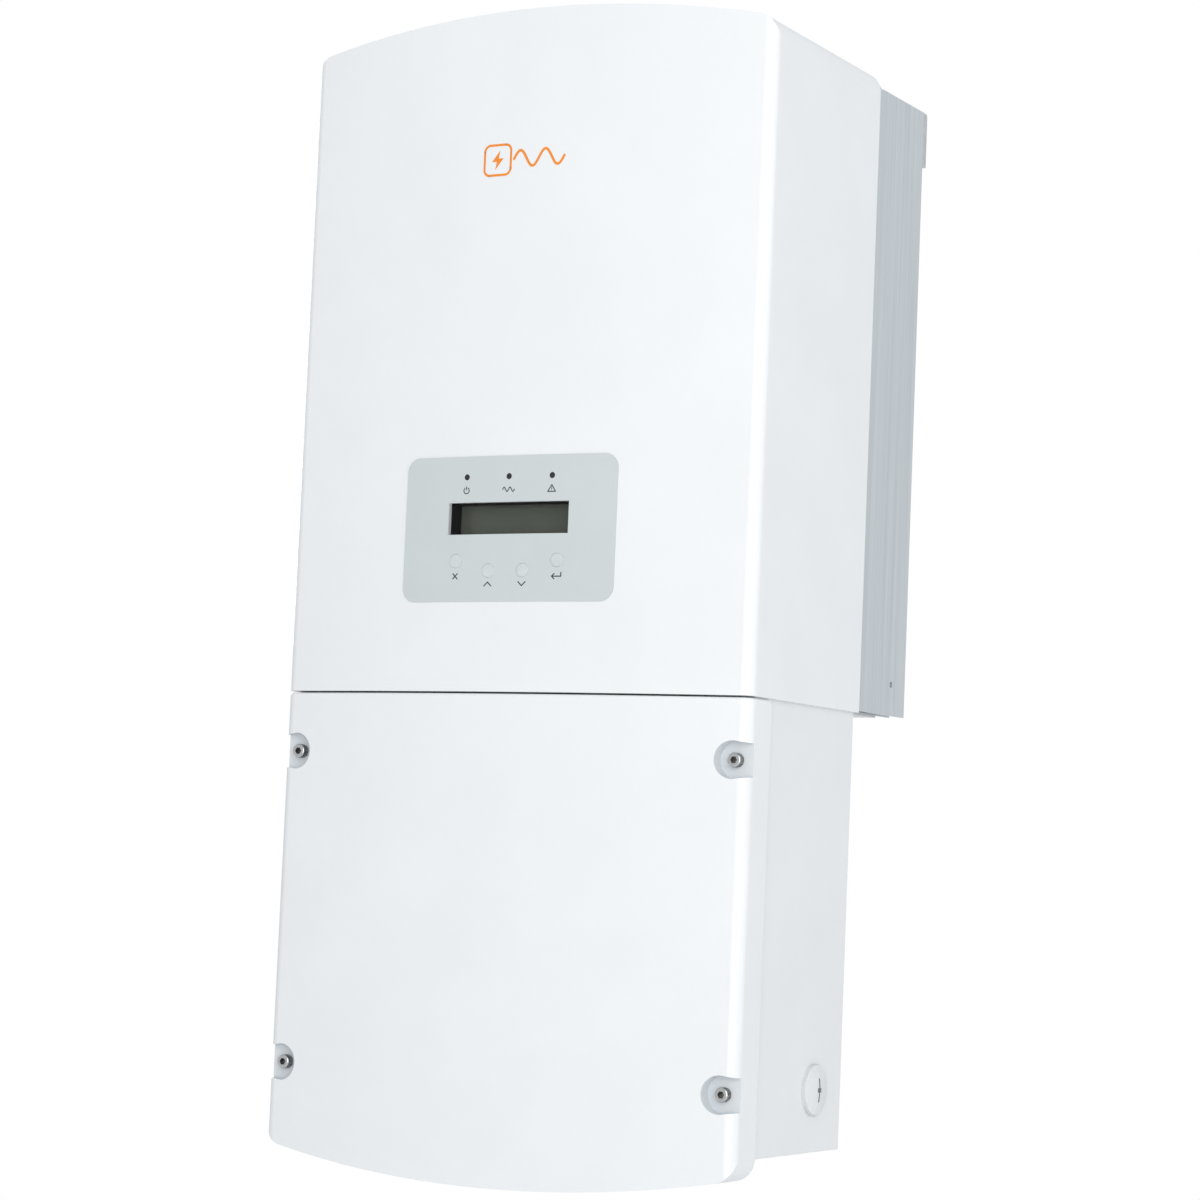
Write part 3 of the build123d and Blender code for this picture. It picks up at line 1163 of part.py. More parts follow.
def wall_bracket():
    """Wall plate with a trough that the hanger's hook drops into."""
    plate = BRACKET_PLATE
    span = (-BRACKET_HALF_WIDTH, BRACKET_HALF_WIDTH)
    bracket = block(span, (-plate, 0), BRACKET_PLATE_Z)
    bracket = fillet(bracket.edges().filter_by(Axis.Y), 6)
    bracket += block(span, (LIP_Y, 0), (SHELF_Z, SHELF_Z + plate))
    bracket += block(span, (LIP_Y, LIP_Y + plate), (SHELF_Z, LIP_TOP_Z))
    for x in (-BOLT_X, BOLT_X):
        for z in (-BOLT_Z, BOLT_Z):
            bracket -= rod_y(x, z, BOLT_R, -plate - PAST, PAST)
    return bracket


# ---- Writing the parts -----------------------------------------------------------------------
PARTS = {
    "upper_cover": upper_cover,
    "upper_gasket": upper_gasket,
    "upper_cover_screws": upper_cover_screws,
    "heatsink": heatsink,
    "power_board": power_board,
    "board_standoffs": board_standoffs,
    "power_modules": power_modules,
    "dc_link_capacitors": dc_link_capacitors,
    "boost_inductors": boost_inductors,
    "output_inductor": output_inductor,
    "emi_chokes": emi_chokes,
    "ac_relays": ac_relays,
    "current_sensors": current_sensors,
    "control_board": control_board,
    "control_components": control_components,
    "display_board": display_board,
    "lcd_module": lcd_module,
    "lcd_shroud": lcd_shroud,
    "lcd_window": lcd_window,
    "led_light_pipes": led_light_pipes,
    "display_overlay": display_overlay,
    "button_switches": button_switches,
    "ribbon_cable": ribbon_cable,
    "wiring_box": wiring_box,
    "wiring_box_floor": wiring_box_floor,
    "box_brackets": box_brackets,
    "cable_grommets": cable_grommets,
    "wiring_cover": wiring_cover,
    "wiring_cover_gasket": wiring_cover_gasket,
    "side_conduit_plugs": side_conduit_plugs,
    "bottom_conduit_plugs": bottom_conduit_plugs,
    "plug_seals": plug_seals,
    "plug_locknuts": plug_locknuts,
    "com_port": com_port,
    "dc_switch_body": dc_switch_body,
    "dc_switch_dial": dc_switch_dial,
    "dc_switch_knob": dc_switch_knob,
    "terminal_mounting_plate": terminal_mounting_plate,
    "dc_terminal_block": dc_terminal_block,
    "ac_terminal_block": ac_terminal_block,
    "terminal_screws": terminal_screws,
    "earth_bar": earth_bar,
    "comm_board": comm_board,
    "comm_connectors": comm_connectors,
    "dc_wires_positive": dc_wires_positive,
    "dc_wires_negative": dc_wires_negative,
    "ac_wires": ac_wires,
    "earth_wire": earth_wire,
    "comm_cable": comm_cable,
    "hanger_plate": hanger_plate,
    "mounting_screws": mounting_screws,
    "wall_bracket": wall_bracket,
}


def main():
    os.makedirs("parts", exist_ok=True)
    for name, make in PARTS.items():
        export_step(make(), f"parts/{name}.step")
    for name, (x, z) in BUTTONS.items():
        export_step(button(x, z), f"parts/button_{name}.step")
    for side, x in (("left", -SCREW_X), ("right", SCREW_X)):
        for level, z in SCREW_HEIGHTS.items():
            export_step(cover_screw(x, z), f"parts/cover_screw_{level}_{side}.step")


main()
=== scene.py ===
import json
import math

import bmesh
import bpy
from mathutils import Matrix, Vector


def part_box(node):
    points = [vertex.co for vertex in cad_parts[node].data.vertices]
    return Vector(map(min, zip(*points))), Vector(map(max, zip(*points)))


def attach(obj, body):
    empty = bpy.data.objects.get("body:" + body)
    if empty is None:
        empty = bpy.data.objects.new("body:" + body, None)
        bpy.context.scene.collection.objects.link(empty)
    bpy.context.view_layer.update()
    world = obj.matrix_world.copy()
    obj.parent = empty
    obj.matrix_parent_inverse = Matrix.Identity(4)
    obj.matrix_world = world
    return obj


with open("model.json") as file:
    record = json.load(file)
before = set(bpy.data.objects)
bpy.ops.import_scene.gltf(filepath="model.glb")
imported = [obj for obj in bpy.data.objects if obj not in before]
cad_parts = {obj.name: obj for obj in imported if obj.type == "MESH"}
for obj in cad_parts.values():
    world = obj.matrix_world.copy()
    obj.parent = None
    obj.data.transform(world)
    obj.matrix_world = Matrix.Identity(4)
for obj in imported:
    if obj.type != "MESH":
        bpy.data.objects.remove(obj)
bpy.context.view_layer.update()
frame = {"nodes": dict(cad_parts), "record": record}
scene = bpy.context.scene
scene.view_settings.view_transform = "Standard"

MM = 0.001

# ---- Places on the casing, in millimetres -------------------------------------------------------
SEAM_Z = -334.5               # the seam between the two casings
CROWN_Y = -262.0              # the foremost line of the bowed front
HALF_WIDTH = 166.5
BOW = 12.0                    # how far the front rises from its sides to its middle
BOW_R = (HALF_WIDTH**2 + BOW**2) / (2 * BOW)
BOW_CENTRE_Y = CROWN_Y + BOW_R
FILM = 0.6                    # thickness of the printed film round the display


def front_y(x, lift=0.0):
    """Y of a surface that stands lift in front of the casing's bowed front, at this x."""
    return BOW_CENTRE_Y - math.sqrt((BOW_R + lift) ** 2 - x**2)


# ---- Materials ----------------------------------------------------------------------------------
MIX_FACTOR, MIX_FIRST, MIX_SECOND, MIX_RESULT = 0, 6, 7, 2     # a Mix node's colour sockets
COLOUR_STOPS = (0.3, 0.7)     # where on a noise's 0 to 1 the tints begin and end
ROUGHNESS_STOPS = (0.25, 0.75)


class Nodes:
    """A Principled material being built: texture nodes read the object's own coordinates, in metres."""

    def __init__(self, name, roughness=0.5, metallic=0.0, **sockets):
        self.material = bpy.data.materials.new(name)
        self.material.use_nodes = True
        self.tree = self.material.node_tree
        self.shader = self.tree.nodes["Principled BSDF"]
        self.shader.inputs["Roughness"].default_value = roughness
        self.shader.inputs["Metallic"].default_value = metallic
        for socket, value in sockets.items():
            self.shader.inputs[socket.replace("_", " ")].default_value = value
        self.coords = self.tree.nodes.new("ShaderNodeTexCoord").outputs["Object"]

    def link(self, source, target):
        self.tree.links.new(source, target)

    def stretched(self, scale):
        """Object coordinates multiplied by scale, a number per axis."""
        mapping = self.tree.nodes.new("ShaderNodeMapping")
        mapping.inputs["Scale"].default_value = scale
        self.link(self.coords, mapping.inputs["Vector"])
        return mapping.outputs["Vector"]

    def noise(self, size, detail=2.0, along=(1, 1, 1), roughness=0.5):
        """Noise with features of about size metres, longer along an axis by its number in along."""
        node = self.tree.nodes.new("ShaderNodeTexNoise")
        node.inputs["Scale"].default_value = 1.0
        node.inputs["Detail"].default_value = detail
        node.inputs["Roughness"].default_value = roughness
        self.link(self.stretched([1 / (size * stretch) for stretch in along]), node.inputs["Vector"])
        return node.outputs["Fac"]

    def cells(self, size, output="Color"):
        """Cells about size metres across, a colour each, or the distance from their middles."""
        node = self.tree.nodes.new("ShaderNodeTexVoronoi")
        node.inputs["Scale"].default_value = 1.0
        self.link(self.stretched([1 / size] * 3), node.inputs["Vector"])
        return node.outputs[output]

    def ramp(self, source, stops):
        """Colours or greys at places along a 0 to 1 input."""
        node = self.tree.nodes.new("ShaderNodeValToRGB")
        elements = node.color_ramp.elements
        while len(elements) < len(stops):
            elements.new(0.5)
        for element, (place, value) in zip(elements, stops):
            element.position = place
            element.color = (*value, 1) if isinstance(value, tuple) else (value, value, value, 1)
        self.link(source, node.inputs["Fac"])
        return node.outputs["Color"]

    def mottled(self, source, colour, darkest, lightest):
        """The colour times darkest where the source is low, and times lightest where it is high."""
        tints = (tinted(colour, darkest), tinted(colour, lightest))
        return self.ramp(source, list(zip(COLOUR_STOPS, tints)))

    def math(self, operation, first, second=0.0):
        """A sum on sockets or numbers."""
        node = self.tree.nodes.new("ShaderNodeMath")
        node.operation = operation
        for socket, value in zip(node.inputs, (first, second)):
            if isinstance(value, (int, float)):
                socket.default_value = value
            else:
                self.link(value, socket)
        return node.outputs["Value"]

    def mix(self, factor, first, second):
        """The first colour where the factor is 0, the second where it is 1."""
        node = self.tree.nodes.new("ShaderNodeMix")
        node.data_type = "RGBA"
        sockets = [node.inputs[place] for place in (MIX_FACTOR, MIX_FIRST, MIX_SECOND)]
        for socket, value in zip(sockets, (factor, first, second)):
            if isinstance(value, (int, float)):
                socket.default_value = value
            elif isinstance(value, tuple):
                socket.default_value = (*value, 1)
            else:
                self.link(value, socket)
        return node.outputs[MIX_RESULT]

    def axis(self, name):
        """The object's own X, Y or Z, in metres."""
        node = self.tree.nodes.new("ShaderNodeSeparateXYZ")
        self.link(self.coords, node.inputs["Vector"])
        return node.outputs[name]

    def colour(self, source):
        """The base colour comes from the source."""
        self.link(source, self.shader.inputs["Base Color"])

    def vary_roughness(self, source, low, high):
        """Roughness goes from low to high as the source does."""
        steps = list(zip(ROUGHNESS_STOPS, (low, high)))
        self.link(self.ramp(source, steps), self.shader.inputs["Roughness"])

    def bump(self, *layers):
        """Surface relief from (height source, depth in metres) pairs."""
        normal = None
        for source, depth in layers:
            node = self.tree.nodes.new("ShaderNodeBump")
            node.inputs["Strength"].default_value = 1.0
            node.inputs["Distance"].default_value = depth
            self.link(source, node.inputs["Height"])
            if normal is not None:
                self.link(normal, node.inputs["Normal"])
            normal = node.outputs["Normal"]
        self.link(normal, self.shader.inputs["Normal"])


def tinted(colour, factor):
    """The colour times a factor, up to white."""
    return tuple(min(channel * factor, 1.0) for channel in colour)


# The cover screws and the pockets they sit in, in metres.
upper_low, upper_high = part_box("cover_screw_upper_right")
lower_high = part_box("cover_screw_lower_right")[1]
SCREW_X = (upper_low.x + upper_high.x) / 2
SCREW_MIDDLE_Z = (upper_low.z + lower_high.z) / 2
SCREW_OFFSET_Z = (upper_low.z + upper_high.z) / 2 - SCREW_MIDDLE_Z
SCREW_FACE_Y = upper_low.y
POCKET_DEPTH = 0.0058         # from the screws' faces to the pockets' floors
POCKET_SLACK = 0.0001         # takes in the floors themselves
POCKET_R = 0.01155
POCKET_TAPER = 0.132          # how fast the pockets narrow towards their open sides
SOCKET_R = 0.0024
SOCKET_LIP = 0.0002           # below this depth a face near the axis is inside the socket
FLANK_NORMAL_Y = 0.45         # a face on the screw head's side has a smaller Y in its normal

# Half sizes along Y and Z of the cross-shaped driver's slot in the side plugs, in metres.
LONG_SLOT = (0.00095, 0.00735)
SHORT_SLOT = (0.00255, 0.00135)

# Traces and pads on the circuit boards. Pitches are in metres, the other two in trace pitches.
TRACE_PITCH = 0.00127
TRACE_LENGTH = 9.0
TRACE_GAP = 0.28
PAD_PITCH = 0.004
TIN = (0.55, 0.56, 0.55)


def from_screws(m):
    """Distances outward and upward from the nearest cover screw's axis, and straight to it."""
    across = m.math("SUBTRACT", m.math("ABSOLUTE", m.axis("X")), SCREW_X)
    height = m.math("ABSOLUTE", m.math("SUBTRACT", m.axis("Z"), SCREW_MIDDLE_Z))
    up = m.math("ABSOLUTE", m.math("SUBTRACT", height, SCREW_OFFSET_Z))
    squares = m.math("ADD", m.math("MULTIPLY", across, across), m.math("MULTIPLY", up, up))
    reach = m.math("SQRT", squares)
    return across, up, reach


def screw_pockets(m):
    """1 on the walls and floors of the wiring cover's four screw pockets, 0 elsewhere."""
    across, up, reach = from_screws(m)
    round_part = m.math("LESS_THAN", reach, POCKET_R)
    spread = m.math("ADD", up, m.math("MULTIPLY", across, POCKET_TAPER))
    outward = m.math("GREATER_THAN", across, 0.0)
    open_part = m.math("MULTIPLY", outward, m.math("LESS_THAN", spread, POCKET_R))
    ahead = m.math("LESS_THAN", m.axis("Y"), SCREW_FACE_Y + POCKET_DEPTH + POCKET_SLACK)
    return m.math("MULTIPLY", m.math("MAXIMUM", round_part, open_part), ahead)


def powder_coat(name, colour, pocket_shade_colour=None):
    """Sprayed polyester powder: orange peel about 1.5 mm across, fine grain, faint shade changes.

    Where a pocket colour is given, the walls and floors of the screw pockets get it, as painted shade.
    """
    m = Nodes(name, roughness=0.32, Coat_Weight=0.10, Coat_Roughness=0.20)
    coat = m.mottled(m.noise(0.06, 3), colour, 0.985, 1.012)
    if pocket_shade_colour:
        # painted shade: the screw pockets are coloured darker, where shade falls in them
        coat = m.mix(screw_pockets(m), coat, pocket_shade_colour)
    m.colour(coat)
    m.vary_roughness(m.noise(0.004, 3), 0.28, 0.37)
    m.bump((m.noise(0.0016, 1), 0.000018), (m.noise(0.00035, 2), 0.000008))
    return m.material


def extruded_aluminium(name, colour):
    """Extrusion lines along Z, clear anodised."""
    m = Nodes(name, metallic=0.7, roughness=0.46, Anisotropic=0.35)
    lines = m.noise(0.0008, 4, along=(1, 1, 260), roughness=0.7)
    bands = m.noise(0.005, 2, along=(1, 1, 90))
    shade = m.math("ADD", m.math("MULTIPLY", lines, 0.72), m.math("MULTIPLY", bands, 0.28))
    dark, light = tinted(colour, 0.84), tinted(colour, 1.10)
    m.colour(m.ramp(shade, [(0.3, dark), (0.5, colour), (0.7, light)]))
    m.vary_roughness(lines, 0.40, 0.56)
    m.bump((lines, 0.00003))
    return m.material


def cast_aluminium(name, colour):
    """Die cast: a rough skin with darker and lighter patches about 10 mm across."""
    m = Nodes(name, metallic=0.9, roughness=0.5)
    m.colour(m.mottled(m.noise(0.01, 4), colour, 0.85, 1.1))
    m.vary_roughness(m.noise(0.003, 3), 0.42, 0.6)
    m.bump((m.noise(0.0007, 3), 0.00005))
    return m.material


def zinc_sheet(name, colour):
    """Galvanised sheet: zinc spangle about 5 mm across, rolling lines along X."""
    m = Nodes(name, metallic=0.9, roughness=0.4)
    spangle = m.cells(0.005)
    grey = m.tree.nodes.new("ShaderNodeRGBToBW")
    m.link(spangle, grey.inputs["Color"])
    rolling = m.noise(0.0012, 3, along=(40, 1, 1))
    m.colour(m.ramp(grey.outputs["Val"], [(0.2, tinted(colour, 0.94)), (0.8, tinted(colour, 1.04))]))
    m.vary_roughness(grey.outputs["Val"], 0.36, 0.46)
    m.bump((rolling, 0.00001), (m.noise(0.0004, 2), 0.000008))
    return m.material


def machined_metal(name, colour, roughness=0.28):
    """Turned metal with fine tool lines and a little smudging."""
    m = Nodes(name, metallic=1.0, roughness=roughness)
    smudge = m.noise(0.003, 4)
    m.colour(m.mottled(smudge, colour, 0.88, 1.08))
    m.vary_roughness(smudge, roughness - 0.06, roughness + 0.12)
    m.bump((m.noise(0.00025, 2, along=(1, 6, 1)), 0.000006))
    return m.material


def cap_screw(name, colour):
    """Stainless cap screw: bright turned face, a straight knurl round the head whose side is painted
    darker as painted shade, and a hexagon socket painted dark as painted shade.
    """
    m = Nodes(name, metallic=1.0)
    facing = m.tree.nodes.new("ShaderNodeSeparateXYZ")
    m.link(m.tree.nodes["Texture Coordinate"].outputs["Normal"], facing.inputs["Vector"])
    flank = m.math("LESS_THAN", m.math("ABSOLUTE", facing.outputs["Y"]), FLANK_NORMAL_Y)
    sunk = m.math("GREATER_THAN", m.axis("Y"), SCREW_FACE_Y + SOCKET_LIP)
    reach = from_screws(m)[2]
    socket = m.math("MULTIPLY", m.math("LESS_THAN", reach, SOCKET_R), sunk)
    knurl = m.noise(0.0005, 1, along=(1, 14, 1))
    smudge = m.noise(0.002, 3)
    face = m.mottled(smudge, colour, 0.92, 1.04)
    # painted shade: the head's side is coloured darker, where shade falls on it; the knurl gives it
    # relief
    side = m.ramp(knurl, [(0.35, tinted(colour, 0.22)), (0.65, tinted(colour, 0.54))])
    # painted shade: the hexagon socket is coloured dark
    m.colour(m.mix(socket, m.mix(flank, face, side), tinted(colour, 0.36)))
    rough = m.math("ADD", m.math("MULTIPLY", smudge, 0.14), 0.16)
    m.link(m.math("ADD", rough, m.math("MULTIPLY", flank, 0.25)), m.shader.inputs["Roughness"])
    m.bump((m.math("MULTIPLY", knurl, flank), 0.0001), (m.noise(0.00025, 2), 0.000006))
    return m.material


def moulded_plastic(name, colour, roughness=0.5, grain=0.0004, depth=0.00001, specular=0.5):
    """Injection-moulded plastic: spark-eroded grain and slight flow marks."""
    m = Nodes(name, roughness=roughness, Specular_IOR_Level=specular)
    m.colour(m.mottled(m.noise(0.012, 3), colour, 0.93, 1.05))
    m.vary_roughness(m.noise(0.005, 3), roughness - 0.06, roughness + 0.08)
    m.bump((m.noise(grain, 2), depth))
    return m.material


def plug_plastic(name, colour, slot_shade):
    """Moulded plug: fine grain, with the driver's slot of the side plugs painted darker as painted
    shade.
    """
    m = Nodes(name, roughness=0.42)
    low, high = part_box("side_conduit_plugs")
    along = m.math("ABSOLUTE", m.math("SUBTRACT", m.axis("Y"), (low.y + high.y) / 2))
    up = m.math("ABSOLUTE", m.math("SUBTRACT", m.axis("Z"), (low.z + high.z) / 2))
    long_slot, short_slot = (
        m.math("MULTIPLY", m.math("LESS_THAN", along, half_y), m.math("LESS_THAN", up, half_z))
        for half_y, half_z in (LONG_SLOT, SHORT_SLOT))
    base = m.mottled(m.noise(0.012, 3), colour, 0.96, 1.03)
    # painted shade: the driver's slot is coloured darker, where shade falls in it
    m.colour(m.mix(m.math("MAXIMUM", long_slot, short_slot), base, slot_shade))
    m.vary_roughness(m.noise(0.005, 3), 0.36, 0.50)
    m.bump((m.noise(0.0004, 2), 0.00001))
    return m.material


def seal_rubber(name, colour):
    """Foamed rubber: matt, with cells about 0.7 mm across."""
    m = Nodes(name, roughness=0.8, Sheen_Weight=0.15, Sheen_Roughness=0.5)
    m.colour(m.mottled(m.noise(0.004, 4), colour, 0.8, 1.5))
    m.bump((m.cells(0.0007, output="Distance"), 0.00006))
    return m.material


def silicone(name, colour):
    """Moulded silicone: matt, faintly mottled, with a little dust in its grain."""
    m = Nodes(name, roughness=0.6)
    m.colour(m.mottled(m.noise(0.005, 3), colour, 0.95, 1.05))
    m.vary_roughness(m.noise(0.002, 3), 0.54, 0.68)
    m.bump((m.noise(0.0005, 2), 0.00001))
    return m.material


def cable_jacket(name, colour):
    """PVC insulation with the faint lay of the strands under it."""
    m = Nodes(name, roughness=0.42)
    m.colour(m.mottled(m.noise(0.02, 2), colour, 0.92, 1.06))
    m.bump((m.noise(0.0012, 1, along=(1, 1, 3)), 0.00006))
    return m.material


def circuit_board(name, colour):
    """Solder mask over copper traces on a 1.27 mm grid, with tinned pads."""
    m = Nodes(name, roughness=0.32, Coat_Weight=0.3, Coat_Roughness=0.2)
    grid = m.tree.nodes.new("ShaderNodeTexBrick")
    grid.inputs["Scale"].default_value = 1.0
    grid.inputs["Brick Width"].default_value = TRACE_LENGTH
    grid.inputs["Row Height"].default_value = 1.0
    grid.inputs["Mortar Size"].default_value = TRACE_GAP
    grid.inputs["Color1"].default_value = (0, 0, 0, 1)
    grid.inputs["Color2"].default_value = (0, 0, 0, 1)
    grid.inputs["Mortar"].default_value = (1, 1, 1, 1)
    turned = m.tree.nodes.new("ShaderNodeMapping")
    turned.inputs["Rotation"].default_value = (math.pi / 2, 0, 0)
    turned.inputs["Scale"].default_value = [1 / TRACE_PITCH] * 3
    m.link(m.coords, turned.inputs["Vector"])
    m.link(turned.outputs["Vector"], grid.inputs["Vector"])
    patch = m.ramp(m.noise(0.02, 1), [(0.42, 0.0), (0.5, 1.0)])
    traces = m.math("MULTIPLY", grid.outputs["Color"], patch)
    board = m.mix(traces, colour, tinted(colour, 1.9))
    pads = m.ramp(m.cells(PAD_PITCH, output="Distance"), [(0.12, 1.0), (0.15, 0.0)])
    m.colour(m.mix(m.math("MULTIPLY", pads, 0.8), board, TIN))
    m.bump((traces, 0.00004))
    return m.material


def printed_film(name, colour):
    """Matt polyester film: fine velvet grain over an even print."""
    m = Nodes(name, roughness=0.46)
    m.colour(m.mottled(m.noise(0.03, 3), colour, 0.985, 1.012))
    m.vary_roughness(m.noise(0.003, 3), 0.42, 0.52)
    m.bump((m.noise(0.00025, 2), 0.000006))
    return m.material


def clear_window(name):
    """Acrylic with an anti-reflective coat: clear, faintly smoked, with slight moulding waves."""
    m = Nodes(name, roughness=0.05, Alpha=0.10, IOR=1.15)
    m.colour(m.ramp(m.noise(0.02, 2), [(0.3, (0.015, 0.018, 0.018)), (0.7, (0.022, 0.025, 0.026))]))
    m.bump((m.noise(0.03, 1), 0.00003))
    return m.material


def display_glass(name, colour):
    """Unlit liquid crystal: olive polariser under polished glass."""
    m = Nodes(name, roughness=0.07, IOR=1.5, Specular_Tint=(0.86, 1.0, 0.78, 1.0))
    m.colour(m.mottled(m.noise(0.02, 2), colour, 0.97, 1.03))
    m.vary_roughness(m.noise(0.006, 2), 0.06, 0.09)
    m.bump((m.noise(0.0005, 1), 0.000002))
    return m.material


WIRE_PITCH = 0.0028


def winding(name, colour):
    """Enamelled wire, laid side by side."""
    m = Nodes(name, metallic=0.7, roughness=0.3, Coat_Weight=0.5, Coat_Roughness=0.12)
    wave = m.tree.nodes.new("ShaderNodeTexWave")
    wave.inputs["Scale"].default_value = 1 / WIRE_PITCH
    wave.inputs["Distortion"].default_value = 0.4
    m.link(m.coords, wave.inputs["Vector"])
    m.colour(m.ramp(wave.outputs["Fac"], [(0.2, tinted(colour, 0.35)), (0.6, colour)]))
    m.bump((wave.outputs["Fac"], 0.0006))
    return m.material


def printing_ink(name, colour):
    """Screen-printed ink, a little uneven at its grain."""
    m = Nodes(name, roughness=0.5)
    m.colour(m.mottled(m.noise(0.0008, 3), colour, 0.92, 1.06))
    m.bump((m.noise(0.0003, 1), 0.000004))
    return m.material


MATERIALS = {
    # the third colour is painted shade for the wiring cover's screw pockets
    "white_paint": powder_coat("white_paint", (0.760, 0.785, 0.800), (0.650, 0.690, 0.720)),
    "box_paint": powder_coat("box_paint", (0.735, 0.762, 0.778)),
    "heatsink_aluminium": extruded_aluminium("heatsink_aluminium", (0.645, 0.685, 0.712)),
    "inductor_aluminium": cast_aluminium("inductor_aluminium", (0.50, 0.51, 0.52)),
    "galvanised_steel": zinc_sheet("galvanised_steel", (0.68, 0.70, 0.72)),
    "stainless_steel": machined_metal("stainless_steel", (0.46, 0.46, 0.455), 0.24),
    "brass": machined_metal("brass", (0.72, 0.53, 0.24), 0.32),
    "copper_winding": winding("copper_winding", (0.66, 0.27, 0.11)),
    "green_board": circuit_board("green_board", (0.015, 0.13, 0.05)),
    "module_resin": moulded_plastic("module_resin", (0.045, 0.045, 0.05), 0.6),
    "capacitor_sleeve": moulded_plastic("capacitor_sleeve", (0.02, 0.03, 0.08), 0.28, 0.0012, 0.00002),
    "relay_plastic": moulded_plastic("relay_plastic", (0.08, 0.09, 0.11)),
    "black_plastic": moulded_plastic("black_plastic", (0.009, 0.009, 0.010), 0.6, specular=0.25),
    "grey_plastic": moulded_plastic("grey_plastic", (0.33, 0.34, 0.34)),
    # the second colour is painted shade for the side plugs' driver's slot
    "white_plastic": plug_plastic("white_plastic", (0.685, 0.715, 0.735), (0.33, 0.34, 0.345)),
    "terminal_grey": moulded_plastic("terminal_grey", (0.30, 0.31, 0.31)),
    "connector_green": moulded_plastic("connector_green", (0.03, 0.26, 0.09), 0.4),
    "lcd_panel": display_glass("lcd_panel", (0.125, 0.134, 0.118)),
    "window_glass": clear_window("window_glass"),
    "light_pipe": moulded_plastic("light_pipe", (0.02, 0.02, 0.02), 0.15, 0.002, 0.00002),
    "overlay_film": printed_film("overlay_film", (0.535, 0.582, 0.594)),
    "button_rubber": moulded_plastic("button_rubber", (0.555, 0.605, 0.617), 0.55, 0.0003, 0.00001),
    "seal_grey": silicone("seal_grey", (0.59, 0.615, 0.63)),
    "black_rubber": seal_rubber("black_rubber", (0.016, 0.016, 0.017)),
    "grey_cable": cable_jacket("grey_cable", (0.36, 0.36, 0.36)),
    "wire_red": cable_jacket("wire_red", (0.42, 0.015, 0.012)),
    "wire_black": cable_jacket("wire_black", (0.018, 0.018, 0.018)),
    "wire_white": cable_jacket("wire_white", (0.70, 0.70, 0.68)),
    "wire_green": cable_jacket("wire_green", (0.02, 0.22, 0.05)),
}
ORANGE_INK = printing_ink("orange_ink", (0.80, 0.245, 0.020))
DARK_INK = printing_ink("dark_ink", (0.030, 0.036, 0.042))
DIAL_INK = printing_ink("dial_ink", (0.72, 0.72, 0.70))
CAP_SCREW = cap_screw("cap_screw", (0.62, 0.62, 0.615))

for part in frame["record"]["subparts"]:
    mesh = frame["nodes"][part["node"]].data
    mesh.materials.clear()
    is_cover_screw = part["node"].startswith("cover_screw_")
    mesh.materials.append(CAP_SCREW if is_cover_screw else MATERIALS[part["material_slot"]])


# ---- Mesh helpers -------------------------------------------------------------------------------
def mesh_piece(name, bm, material, body):
    """Turns a bmesh in millimetres into a piece that rides on a body."""
    bmesh.ops.scale(bm, vec=(MM, MM, MM), verts=bm.verts)
    bmesh.ops.recalc_face_normals(bm, faces=bm.faces)
    mesh = bpy.data.meshes.new(name)
    bm.to_mesh(mesh)
    bm.free()
    mesh.materials.append(material)
    piece = bpy.data.objects.new(name, mesh)
    scene.collection.objects.link(piece)
    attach(piece, body)


def add_outline(bm, points, place, thickness):
    """A thin closed plate on a surface.

    place(u, v, lift) gives the point that stands lift above the drawing's point (u, v).
    """
    low = [bm.verts.new(place(u, v, 0.0)) for u, v in points]
    high = [bm.verts.new(place(u, v, thickness)) for u, v in points]
    bm.faces.new(high)
    bm.faces.new(low[::-1])
    for i in range(len(points)):
        j = (i + 1) % len(points)
        bm.faces.new((low[i], low[j], high[j], high[i]))


END_STEPS = 4                 # steps in a stroke's round end
END_SWEEP = 0.98              # the round end stops just short of a point


def add_stroke(bm, points, width, place, thickness):
    """A drawn line with round ends, as a thin closed plate that follows the surface."""
    points = [Vector(point) for point in points]
    count = len(points)
    pairs = []
    for i, point in enumerate(points):
        ahead = points[min(i + 1, count - 1)]
        behind = points[max(i - 1, 0)]
        direction = (ahead - behind).normalized()
        pairs.append((point, direction, width / 2))
    start, end = pairs[0], pairs[-1]
    for k in range(1, END_STEPS + 1):
        angle = math.pi / 2 * k / END_STEPS * END_SWEEP
        reach, half = width / 2 * math.sin(angle), width / 2 * math.cos(angle)
        pairs.insert(0, (start[0] - start[1] * reach, start[1], half))
        pairs.append((end[0] + end[1] * reach, end[1], half))
    rings = []
    for point, direction, half in pairs:
        side = Vector((-direction.y, direction.x)) * half
        left, right = point + side, point - side
        corners = ((left, 0.0), (left, thickness), (right, thickness), (right, 0.0))
        rings.append([bm.verts.new(place(spot.x, spot.y, lift)) for spot, lift in corners])
    for a, b in zip(rings, rings[1:]):
        for k in range(len(a)):
            after = (k + 1) % len(a)
            bm.faces.new((a[k], a[after], b[after], b[k]))
    bm.faces.new(rings[0][::-1])
    bm.faces.new(rings[-1])


def arc(centre, radius, start_deg, end_deg, steps=20):
    """Points along an arc, angles measured from straight right, anticlockwise."""
    points = []
    for i in range(steps + 1):
        angle = math.radians(start_deg + (end_deg - start_deg) * i / steps)
        points.append((centre[0] + radius * math.cos(angle), centre[1] + radius * math.sin(angle)))
    return points


def line(start, end, steps=6):
    """Points along a straight line, both ends included."""
    return [(start[0] + (end[0] - start[0]) * i / steps, start[1] + (end[1] - start[1]) * i / steps)
            for i in range(steps + 1)]


def on_casing(centre_x, centre_z, base_lift):
    """Places a drawing on the bowed front: u to the right, v up, in millimetres."""
    def place(u, v, lift):
        x = centre_x + u
        return Vector((x, front_y(x, base_lift + lift), centre_z + v))
    return place


